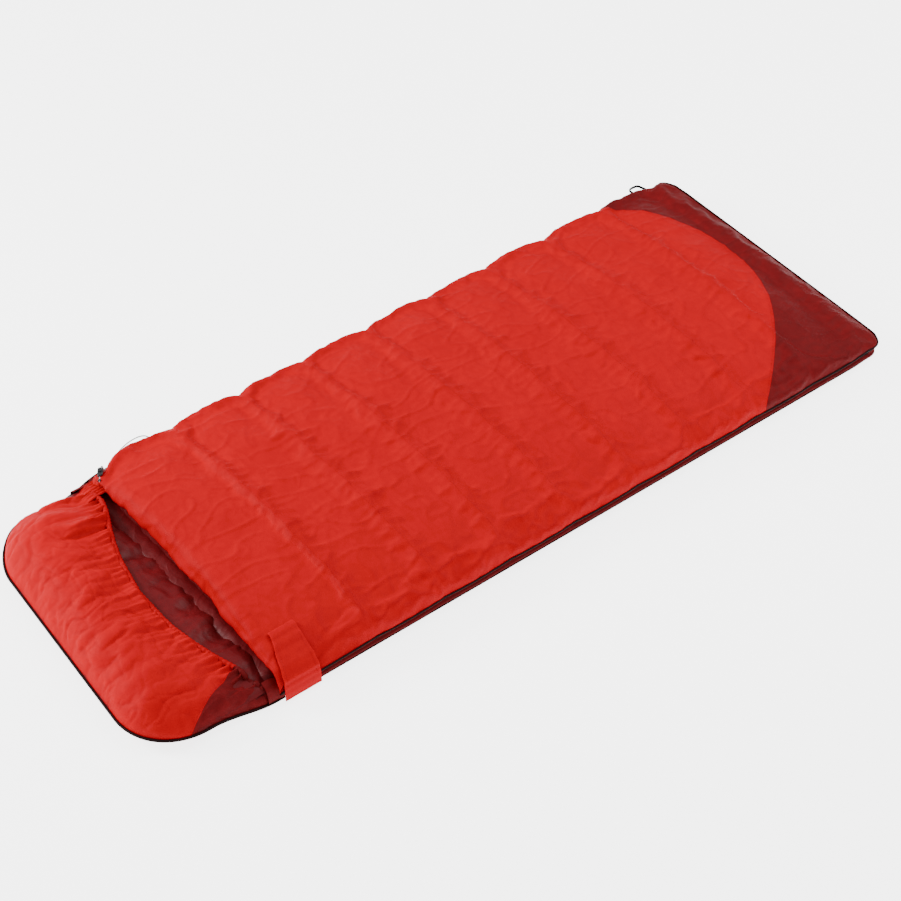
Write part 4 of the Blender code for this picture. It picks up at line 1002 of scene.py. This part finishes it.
hem_path = np.stack([hem_x, hem_y, hem_z], axis=1)
hem = tube("face_hem_casing", hem_path, CASING_R, RED_TAFFETA, 14, gathers)
hem_end = parted(hem, "face_hem_side_end", lambda p: p.x - HEM_END_X, MAROON_TAFFETA)
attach(hem_end, "hood")
hem_edge = np.stack([hem_x, hem_y + 0.0056, hem_z - 0.0022], axis=1)
face_piping = tube("face_piping_cord", hem_edge, HEM_PIPING_R, DARK_PIPING, 8)
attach(face_piping, "hood")
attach(hem, "hood")
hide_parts("face_hem")

# Piping is caught in the hood's seam, from the near side of the neck round to the far side.
HOOD_PIPING_R = 0.0034
turn = np.linspace(0, math.pi / 2, 30)[1:]
corner_y = HOOD_END + HOOD_CORNER_R
ring = np.concatenate([
    np.stack([np.full(30, HOOD_HALF), np.linspace(NECK - 0.003, corner_y, 30)], axis=1),
    np.stack([HOOD_HALF - HOOD_CORNER_R + HOOD_CORNER_R * np.cos(turn),
              corner_y - HOOD_CORNER_R * np.sin(turn)], axis=1),
])
ring = np.concatenate([ring, ring[::-1][1:] * np.array([-1, 1])])
ring3 = slanted(np.concatenate([ring, np.full((len(ring), 1), HOOD_SEAM)], axis=1))
outwards = np.gradient(ring3, axis=0)
outwards = np.stack([-outwards[:, 1], outwards[:, 0], 0 * outwards[:, 0]], axis=1)
outwards /= np.linalg.norm(outwards, axis=1, keepdims=True)
ring3 += outwards * 0.0012
ring3 = seam_drop(ring3)
piping = tube("hood_piping_cord", ring3 + outwards * 0.0010, HOOD_PIPING_R, DARK_PIPING, 10)
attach(piping, "hood")
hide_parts("hood_piping")


# ---- Neck ----------------------------------------------------------------------------------------
# The hood is sewn to the bottom quilt here. A strip of lining bridges the seam inside.
STRIP_HALF, STRIP_RISE, STRIP_CREASE = 0.028, 0.0072, 0.0016
neck_y = np.linspace(NECK + STRIP_HALF, NECK - STRIP_HALF, 13)
neck_x = np.linspace(-0.392, 0.392, 90)
neck_grid = []
for y in neck_y:
    crest = BED_Z + STRIP_RISE * math.sin(math.pi * (y - NECK + STRIP_HALF) / (2 * STRIP_HALF)) ** 0.7
    edge_fall = np.clip((HALF_WIDTH - 0.008 - np.abs(neck_x)) / 0.040, 0, 1)
    z = 0.022 + (crest - 0.022) * ramp(edge_fall)
    at = np.stack([neck_x, np.full_like(neck_x, y), z], axis=1)
    at[:, 2] += STRIP_CREASE * wander(at, 55.0, 2.0) * edge_fall
    neck_grid.append(at)
neck = surface("neck_gusset", np.array(neck_grid)[:, ::-1], SATIN_LINING)
smoother(neck)
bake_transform(neck)
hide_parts("neck_band", "hood_neck_band")

# The same seam outside: a maroon wrap round the near side, the underside and the far side.
wrap_line = section([
    (0.380, 0.0440), (0.398, 0.040), (0.4085, 0.026), (0.4095, 0.006), (0.402, 0.0012), (0.36, 0.0012),
    (-0.36, 0.0012), (-0.388, 0.003), (-0.4045, 0.020), (-0.4045, 0.045), (-0.390, 0.050),
], 150)
WRAP_FROM, WRAP_TO = NECK + 0.022, NECK - 0.046
WRAP_SWELL, WRAP_RISE = 0.0016, 0.010
wrap_grid = []
for y in np.linspace(WRAP_FROM, WRAP_TO, 15):
    swelled = WRAP_SWELL * math.sin(math.pi * min(1.0, (WRAP_FROM - y) / 0.044))
    outer = wrap_line.copy()
    near_top = (outer[:, 0] > 0) * ramp((outer[:, 1] - 0.02) / 0.02)
    outer[:, 1] += WRAP_RISE * ramp((NECK + 0.010 - y) / 0.040) * near_top
    outer[:, 0] += np.sign(outer[:, 0]) * swelled * (outer[:, 1] > 0.004)
    wrap_grid.append(np.stack([outer[:, 0], np.full(len(outer), y), outer[:, 1]], axis=1))
wrap = surface("neck_wrap", np.array(wrap_grid), MAROON_TAFFETA)
smoother(wrap)
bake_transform(wrap)

# Piping at the far side of the neck, from the fold of the bag down to the hood's seam.
neck_line = section([
    (-0.4043, -0.622, 0.0550), (-0.4055, -0.690, 0.0550), (-0.4050, -0.745, 0.0500),
    (-0.4005, -0.790, 0.0370), (-0.3985, -0.835, 0.0290), (-0.3990, -0.860, 0.0280),
], 80)
NECK_PIPING_R = 0.0029
neck_piping = tube("neck_piping_cord", neck_line, NECK_PIPING_R, DARK_PIPING, 10)
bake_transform(neck_piping)

# The hood runs on to the far shoulder of the bag as a gathered red yoke.
YOKE_X, YOKE_Y, YOKE_WIDE, YOKE_LONG = -0.322, -0.815, 0.076, 0.100
YOKE_GATHERS, YOKE_GATHER_DEEP, YOKE_HUMP = 7, 0.0022, 0.010
yoke_grid = []
for v in np.linspace(0, 1, 26):
    row = []
    for u in np.linspace(0, 1, 60):
        x = YOKE_X - YOKE_WIDE * u - 0.004 * math.sin(math.pi * v) * u
        y = YOKE_Y + YOKE_LONG * v + 0.012 * (1 - v) * u
        low = 0.062 - 0.031 * u ** 1.4
        high = 0.064 - 0.012 * u ** 1.5
        stray = 0.5 * noise.noise(Vector((u * 4, v * 3, 1)))
        gather = YOKE_GATHER_DEEP * math.sin(2 * math.pi * (YOKE_GATHERS * u + stray))
        hump = math.sin(math.pi * v) ** 0.8 * (1 - u ** 6)
        sewn_down = math.sin(math.pi * min(1, v + 0.08))
        row.append((x, y, low + (high - low) * v + YOKE_HUMP * hump + gather * sewn_down))
    yoke_grid.append(row)
yoke = surface("shoulder_yoke", np.array(yoke_grid), RED_TAFFETA)
smoother(yoke)
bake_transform(yoke)


# ---- Zip -----------------------------------------------------------------------------------------
# A coil zip: two woven tapes, each with a coil of monofilament loops at a 2 mm pitch, run from the
# head along the side and round the foot corner, and two lacquered sliders run on them.
WORN_GREY, BLOTCHES_PER_M = "3a3a3c", 90.0


def smooth_part(name, colour, roughness, grain, depth, metallic=0.0):
    """Moulded or cast parts: a fine grain, a slight sheen and edges worn bright."""
    mat, tree, bsdf = new_material(name)
    place = add(tree, "TexCoord", out=3)
    grained = add(tree, "TexNoise", {"Vector": place, "Scale": grain, "Detail": 2.0})
    blotch = add(tree, "TexNoise", {"Vector": place, "Scale": BLOTCHES_PER_M})
    ridge = add(tree, "NewGeometry", out=7)
    wear_and_ridge_light = add(tree, "MapRange", {"Value": ridge, "From Min": 0.52, "From Max": 0.62})
    scuffed = add(tree, "Math", {0: wear_and_ridge_light, 1: blotch}, operation="MULTIPLY")
    tint = mixed(tree, scuffed, linear(colour), linear(WORN_GREY))
    tree.links.new(tint, bsdf.inputs["Base Color"])
    rough = add(tree, "MapRange", {"Value": blotch, "To Min": roughness - 0.08, "To Max": roughness + 0.08})
    tree.links.new(rough, bsdf.inputs["Roughness"])
    bump = add(tree, "Bump", {"Height": grained, "Strength": 0.3, "Distance": depth})
    tree.links.new(bump, bsdf.inputs["Normal"])
    bsdf.inputs["Metallic"].default_value = metallic
    return mat


# Woven polyester tape: flat black with a visible weave.
BLACK_TAPE = fabric(
    "black_woven_zip_tape", "08080a", "040405", 0.85, 0.0, 0.05, thread=0.0005, depth=0.00012, gloss=0.05)
# Polyester monofilament: smooth black loops that catch small highlights.
BLACK_LOOPS = smooth_part("black_polyester_coil", "09090b", 0.38, 900.0, 0.00003)
# Die-cast zinc under black lacquer, and moulded nylon: both fine-grained and worn grey at the edges.
BLACK_LACQUER = smooth_part("black_lacquered_zinc", "0b0b0d", 0.42, 1200.0, 0.00002, 0.25)
BLACK_NYLON = smooth_part("black_moulded_nylon", "0c0c0e", 0.42, 1500.0, 0.00003)
# Hook-and-loop tape: coarse black pile.
GRIP_HOOKS = fabric("black_hook_and_loop", "0c0c0e", "050506", 0.85, 0.0, 0.0, thread=0.0011, depth=0.0006)
# Drawn steel wire: bright, with tight highlights.
STEEL = smooth_part("bright_spring_steel", "8a8c90", 0.25, 1500.0, 0.00001, 1.0)
FINISHES = {
    BLACK_TAPE: ("upper_tape", "lower_tape"),
    BLACK_LACQUER: ("side_slider", "side_pull", "foot_slider", "foot_pull"),
    BLACK_NYLON: ("cord_lock", "lock_button", "cord_exit", "cord_tip"),
    GRIP_HOOKS: ("loop_strip", "hook_strip"),
    STEEL: ("lock_spring",),
}
for finish, names in FINISHES.items():
    for name in names:
        nodes[name].material_slots[0].material = finish

# The lower coil runs on bare by PARK at each end, where a slider stands.
ZIP_START, ZIP_STOP, PARK = HEAD_EDGE + 0.105, 0.075 - HALF_WIDTH, 0.034
CHAIN_GAP, TAPE, COIL_HIGH, COIL_THICK = 0.0016, 0.0008, 0.0030, 0.0026
LOOP_PITCH, LOOP_LONG, LOOP_NOSE = 0.0020, 0.00058, 0.0004
COIL_OFF, UPPER_SHARE = 0.0003, 0.90


def zip_path(start, stop, offset):
    """Points outside the zip's plane along the side, round the foot corner and along the foot."""
    turns = np.linspace(0, math.pi / 2, 19)
    bend = CORNER_R + offset
    side = [(HALF_WIDTH + offset, start)]
    for turn in turns:
        side.append((HALF_WIDTH - CORNER_R + bend * math.cos(turn), FOOT - CORNER_R + bend * math.sin(turn)))
    side.append((stop, FOOT + offset))
    return np.array([(x, y, across(x, ZIP_Z, HINGE_Z)) for x, y in side])


def coil(name, way, start, stop):
    """One side of the coil: a loop of thread bent round to the middle of the chain at every pitch."""
    offset = TAPE / 2 + COIL_OFF + COIL_THICK / 2
    at = even(zip_path(start, stop, offset), LOOP_PITCH)
    if way < 0:
        at = (at[:-1] + at[1:]) / 2
    ahead = heading(at)
    up = np.array([0, 0, 1.0])
    out = np.cross(ahead, up)
    low, high = way * CHAIN_GAP * 0.25, way * (CHAIN_GAP / 2 + COIL_HIGH)
    nose = low + way * LOOP_NOSE
    half = COIL_THICK / 2 * (UPPER_SHARE if way > 0 else 1.0)
    shape = [(low, half * 0.62), (nose, half), (high, half * 0.8), (high, -half * 0.8), (nose, -half),
             (low, -half * 0.62)]
    rings = []
    for step in (-LOOP_LONG, LOOP_LONG):
        rings.append(np.stack([at + ahead * step + out * o + up * z for z, o in shape], 1))
    verts = np.concatenate(rings, axis=1).reshape(-1, 3)
    faces = []
    for k in range(len(at)):
        f = 12 * k
        faces.append([f + i for i in range(6)])
        faces.append([f + 11 - i for i in range(6)])
        faces += [(f + i, f + 6 + i, f + 6 + (i + 1) % 6, f + (i + 1) % 6) for i in range(6)]
    return mesh_of(name, verts.tolist(), faces, BLACK_LOOPS, False)


upper_loops = coil("upper_coil_loops", 1, ZIP_START, ZIP_STOP)
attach(upper_loops, "top_quilt")
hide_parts("upper_coil")
lower_loops = coil("lower_coil_loops", -1, ZIP_START - PARK, ZIP_STOP - PARK)
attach(lower_loops, "base")
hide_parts("lower_coil")


# ---- Flap ----------------------------------------------------------------------------------------
# A doubled strip of red taffeta, sewn to the top quilt near the head and stitched round its edge. It
# hangs over the head end of the zip and closes on a strip of hook and loop.
FLAP_LOW_Y, FLAP_HIGH_Y, FLAP_TOP_X, FLAP_LEAN = HEAD_EDGE + 0.010, HEAD_EDGE + 0.080, 0.315, 0.040
FLAP_WIDE = FLAP_HIGH_Y - FLAP_LOW_Y
LEAN_LOST = 0.8           # share of the lean that is gone at the flap's other edge
FLAP_THICK, FLAP_FOLD_R, FLAP_SINK, FLAP_STRAY = 0.0022, 0.0008, 0.0030, 0.0012
FLAP_OUT_X, FLAP_ENDS_Z = 0.4156, (0.030, 0.022, 0.016, 0.0100)
GUIDE_POINTS, LEAN_STEPS, FLAP_POINTS = 34, 36, 44
AIM_X, AIM_Z = 0.300, 0.045
# Rays from a guide line outside the flap, aimed into the quilt, find the quilt's cover.
cover_tree = BVHTree.FromObject(cover, bpy.context.evaluated_depsgraph_get())
flap_lines, flap_aims, flap_own = [], [], []
for y in np.linspace(FLAP_LOW_Y + 0.001, FLAP_HIGH_Y - 0.001, 22):
    guide = section([(FLAP_TOP_X, 0.150), (0.372, 0.145), (0.440, 0.090), (0.440, 0.034)], GUIDE_POINTS)
    aims, own = [], []
    for k, (x, z) in enumerate(guide):
        lean = FLAP_LEAN * (1 - LEAN_LOST * (y - FLAP_LOW_Y) / FLAP_WIDE)
        leant = y - lean * float(ramp(k / LEAN_STEPS))
        origin = Vector((x, leant, z))
        way = (Vector((AIM_X, leant, AIM_Z)) - origin).normalized()
        hit = cover_tree.ray_cast(origin, way)
        own.append(hit[3] if hit[0] is not None else np.nan)
        aims.append((origin, way))
    flap_aims.append(aims)
    flap_own.append(own)
# The flap is stiffer than the quilt, so it lies on the quilt's high places and bridges the rest.
flap_top = np.nanmin(np.array(flap_own), axis=0)
flap_top = np.array([flap_top[max(0, k - 1):k + 2].min() for k in range(len(flap_top))]) - FLAP_SINK
for aims in flap_aims:
    line = [tuple(origin + way * distance) for (origin, way), distance in zip(aims, flap_top)]
    fall, end_y = max(FLAP_OUT_X, line[-1][0] + 0.0020), line[-1][1]
    line += [(fall, end_y, z) for z in FLAP_ENDS_Z]
    flap_lines.append(section(line, FLAP_POINTS))
flap_grid = np.array(flap_lines)
flap_fall = np.linspace(0, 1, flap_grid.shape[1])
flap_grid[:, :, 0] += FLAP_STRAY * np.abs(wander(flap_grid, 45.0, 7.0)) * ramp(flap_fall / 0.3)[None, :]
flap = surface("zip_flap_cover", flap_grid, RED_TAFFETA)
thick = flap.modifiers.new("doubled", "SOLIDIFY")
thick.thickness, thick.offset = FLAP_THICK, 1.0
rounded = flap.modifiers.new("turned_edge", "BEVEL")
rounded.width, rounded.segments = FLAP_FOLD_R, 2
settle(flap)
flap.data.polygons.foreach_set("use_smooth", [True] * len(flap.data.polygons))
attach(flap, "flap")
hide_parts("zip_flap")
# The stitches run two rows in from the flap's edge, on its outer side.
inset, stitch_lift = 2, Vector((0.0018, 0, 0.0018))
edge = list(flap_grid[inset, inset:-inset]) + list(flap_grid[inset:-inset, -inset])
edge += list(flap_grid[-inset - 1, inset:-inset][::-1])
sewn("flap_stitches", [[Vector(p) + stitch_lift for p in edge]], "flap")


# ---- Hanging loop --------------------------------------------------------------------------------
# A loop of black webbing, 7 mm wide, caught in the far seam near the foot. It is stiff enough to
# stand out from the seam and only droops a little.
LOOP_OUT, LOOP_IN = -HALF_WIDTH - 0.057, -0.3845
LOOP_Z, LOOP_DROOP = 0.0510, 0.16
WEB_HALF, WEB_THICK = 0.0035, (0.0009, 0.0011)
web_line = section([
    (LOOP_IN, FOOT - 0.0975), (LOOP_OUT + 0.010, FOOT - 0.0960), (LOOP_OUT + 0.0012, FOOT - 0.0900),
    (LOOP_OUT + 0.0012, FOOT - 0.0660), (LOOP_OUT + 0.010, FOOT - 0.0600), (LOOP_IN, FOOT - 0.0585),
], 90)
thin, full = WEB_THICK
web_shape = [(-thin, -WEB_HALF), (-full, 0.0), (-thin, WEB_HALF), (thin, WEB_HALF), (full, 0.0),
             (thin, -WEB_HALF)]
web_grid = []
for (x, y), ahead in zip(web_line, np.gradient(web_line, axis=0)):
    side = np.array([-ahead[1], ahead[0]]) / np.linalg.norm(ahead)
    hung = LOOP_Z - LOOP_DROOP * (LOOP_IN - x) * ramp((LOOP_IN - x) / 0.030)
    web_grid.append([(x + side[0] * off, y + side[1] * off, hung + z) for off, z in web_shape])
webbing = surface("hanging_loop_webbing", np.array(web_grid), BLACK_TAPE, ring=True)
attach(webbing, "base")
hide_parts("hang_loop")


# ---- Far shoulder --------------------------------------------------------------------------------
# A small puff of gathered red taffeta fills the corner under the cord lock, between the quilt's head
# edge and the hood.
PUFF_X, PUFF_Y, PUFF_Z = -0.366, -0.7395, 0.0612
PUFF_HALF_X, PUFF_HALF_Y, PUFF_HALF_Z = 0.0225, 0.0190, 0.0148
gusset_rows = []
for t in np.linspace(0, math.pi, 36):
    ring_points = []
    for turn in np.linspace(0, 2 * math.pi, 61)[:-1]:
        pleat = 1 + 0.045 * math.sin(11 * turn + 2.0 * math.cos(t)) * math.sin(t)
        size = math.sin(t) ** 0.55 * pleat
        ring_points.append((
            PUFF_X + PUFF_HALF_X * size * math.cos(turn),
            PUFF_Y + PUFF_HALF_Y * size * math.sin(turn),
            PUFF_Z + PUFF_HALF_Z * power(math.cos(t), 0.6) + 0.0015 * math.sin(5 * turn) * math.sin(t)))
    gusset_rows.append(ring_points)
gusset = surface("shoulder_gusset_cover", np.array(gusset_rows), RED_TAFFETA, ring=True)
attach(gusset, "base")
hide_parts("shoulder_gusset")


# ---- Drawcord ------------------------------------------------------------------------------------
# A 3 mm round braid runs in the face hem, comes out at the far shoulder, passes through the cord lock
# and hangs down to the floor, where it lies loosely and ends in a moulded tip.
STRAND, STRAND_DEEP, FLECKS_PER_M = 0.0022, 0.0004, 420.0


def braid(name, colour, fleck):
    """A round polyester braid: slanting strands, with a darker strand that shows as flecks."""
    mat, tree, bsdf = new_material(name)
    place = add(tree, "TexCoord", out=3)
    feeds = {"Vector": place, "Scale": WAVES_PER_M / STRAND, "Distortion": 0.6}
    strands = add(tree, "TexWave", feeds, 1, bands_direction="DIAGONAL")
    specks = add(tree, "TexNoise", {"Vector": place, "Scale": FLECKS_PER_M, "Detail": 1.0})
    spots = add(tree, "MapRange", {"Value": specks, "From Min": 0.56, "From Max": 0.60})
    tint = mixed(tree, spots, linear(colour), linear(fleck))
    tree.links.new(tint, bsdf.inputs["Base Color"])
    bump = add(tree, "Bump", {"Height": strands, "Strength": 0.6, "Distance": STRAND_DEEP})
    tree.links.new(bump, bsdf.inputs["Normal"])
    bsdf.inputs["Roughness"].default_value = 0.7
    bsdf.inputs["Sheen Weight"].default_value = 0.2
    return mat


# Soft polyester braid: pale grey, matt and a little downy, with dark flecks.
GREY_BRAID = braid("grey_flecked_braid", "c9cbcc", "4a4b50")
CORD_R, CORD_Z = 0.0015, 0.0850
LOCK_AT = Vector((0.033 - HALF_WIDTH, HEAD_EDGE + 0.008, CORD_Z))
CORD_WAY = Vector((-0.8, 0.6, 0))
CORD_FLOOR = CORD_R + 0.0002
# The free end's places: x from the bag's far side, y from the head edge, and height.
CORD_LIES = [
    (0.0135, 0.0226, 0.0825), (0.0040, 0.0300, 0.0730), (-0.0040, 0.0360, 0.0590), (-0.0100, 0.0410, 0.0420),
    (-0.0160, 0.0470, 0.0240), (-0.0240, 0.0550, 0.0095), (-0.0350, 0.0660, CORD_FLOOR),
    (-0.0550, 0.0880, CORD_FLOOR), (-0.0730, 0.1110, CORD_FLOOR), (-0.0870, 0.1370, CORD_FLOOR),
    (-0.0950, 0.1650, CORD_FLOOR), (-0.0960, 0.1890, CORD_FLOOR), (-0.0900, 0.2050, CORD_FLOOR),
    (-0.0760, 0.2120, CORD_FLOOR),
]
route = [LOCK_AT + CORD_WAY * at for at in (-0.0285, -0.014, 0.0, 0.014)]
route += [Vector((x - HALF_WIDTH, y + HEAD_EDGE, z)) for x, y, z in CORD_LIES]


def spline(points, spacing=0.003):
    """Even points on a smooth curve through the given points."""
    found = []
    whole = [points[0], *points, points[-1]]
    for a, b, c, d in zip(whole, whole[1:], whole[2:], whole[3:]):
        count = max(1, round((c - b).length / spacing))
        for k in range(count):
            t = k / count
            bend = (2 * a - 5 * b + 4 * c - d) * t * t + (3 * b - a - 3 * c + d) * t ** 3
            found.append(0.5 * (2 * b + (c - a) * t + bend))
    return found + [points[-1]]


cord_line = spline(route)
curve = bpy.data.curves.new("drawcord_tail", "CURVE")
curve.dimensions = "3D"
curve.bevel_depth, curve.bevel_resolution, curve.use_fill_caps = CORD_R, 3, True
line = curve.splines.new("POLY")
line.points.add(len(cord_line) - 1)
for target, point in zip(line.points, cord_line):
    target.co = (*point, 1)
tail = placed("drawcord_tail", curve)
curve.materials.append(GREY_BRAID)
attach(tail, "base")
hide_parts("free_cord")
nodes["drawcord"].material_slots[0].material = GREY_BRAID


# ---- Floor and light -----------------------------------------------------------------------------
# A plain pale floor that glows a little, so it looks nearly white, and more where it is seen itself
# than where it lights the bag; plain white surroundings and two soft boxes.
FLOOR_HALF, GLOW, SEEN_GLOW = 30, 1.3, 2.6
pale_floor, tree, bsdf = new_material("pale_floor")
bsdf.inputs["Base Color"].default_value = linear("fafafa")
bsdf.inputs["Emission Color"].default_value = linear("ffffff")
seen = add(tree, "LightPath", out=0)
glow = add(tree, "Math", {0: seen, 1: SEEN_GLOW, 2: GLOW}, operation="MULTIPLY_ADD")
tree.links.new(glow, bsdf.inputs["Emission Strength"])
bsdf.inputs["Roughness"].default_value = 0.8
corners = [(x * FLOOR_HALF, y * FLOOR_HALF, 0) for x, y in ((-1, -1), (1, -1), (1, 1), (-1, 1))]
floor = mesh_of("floor", corners, [(0, 1, 2, 3)], pale_floor, False)

world = bpy.data.worlds.new("studio")
bpy.context.scene.world = world
world.use_nodes = True
sky = world.node_tree.nodes["Background"]
sky.inputs["Color"].default_value = linear("ffffff")
sky.inputs["Strength"].default_value = 0.72


def softbox(name, at, watts, size):
    """A square area light that faces the middle of the bag."""
    data = bpy.data.lights.new(name, "AREA")
    data.energy, data.size = watts, size
    made = placed(name, data)
    made.location = at
    made.rotation_mode = "QUATERNION"
    made.rotation_quaternion = Vector(at).to_track_quat("Z", "Y")


softbox("key", (-2.6, -2.8, 1.9), watts=175, size=1.4)
softbox("top", (0.6, 2.2, 3.2), watts=85, size=2.0)
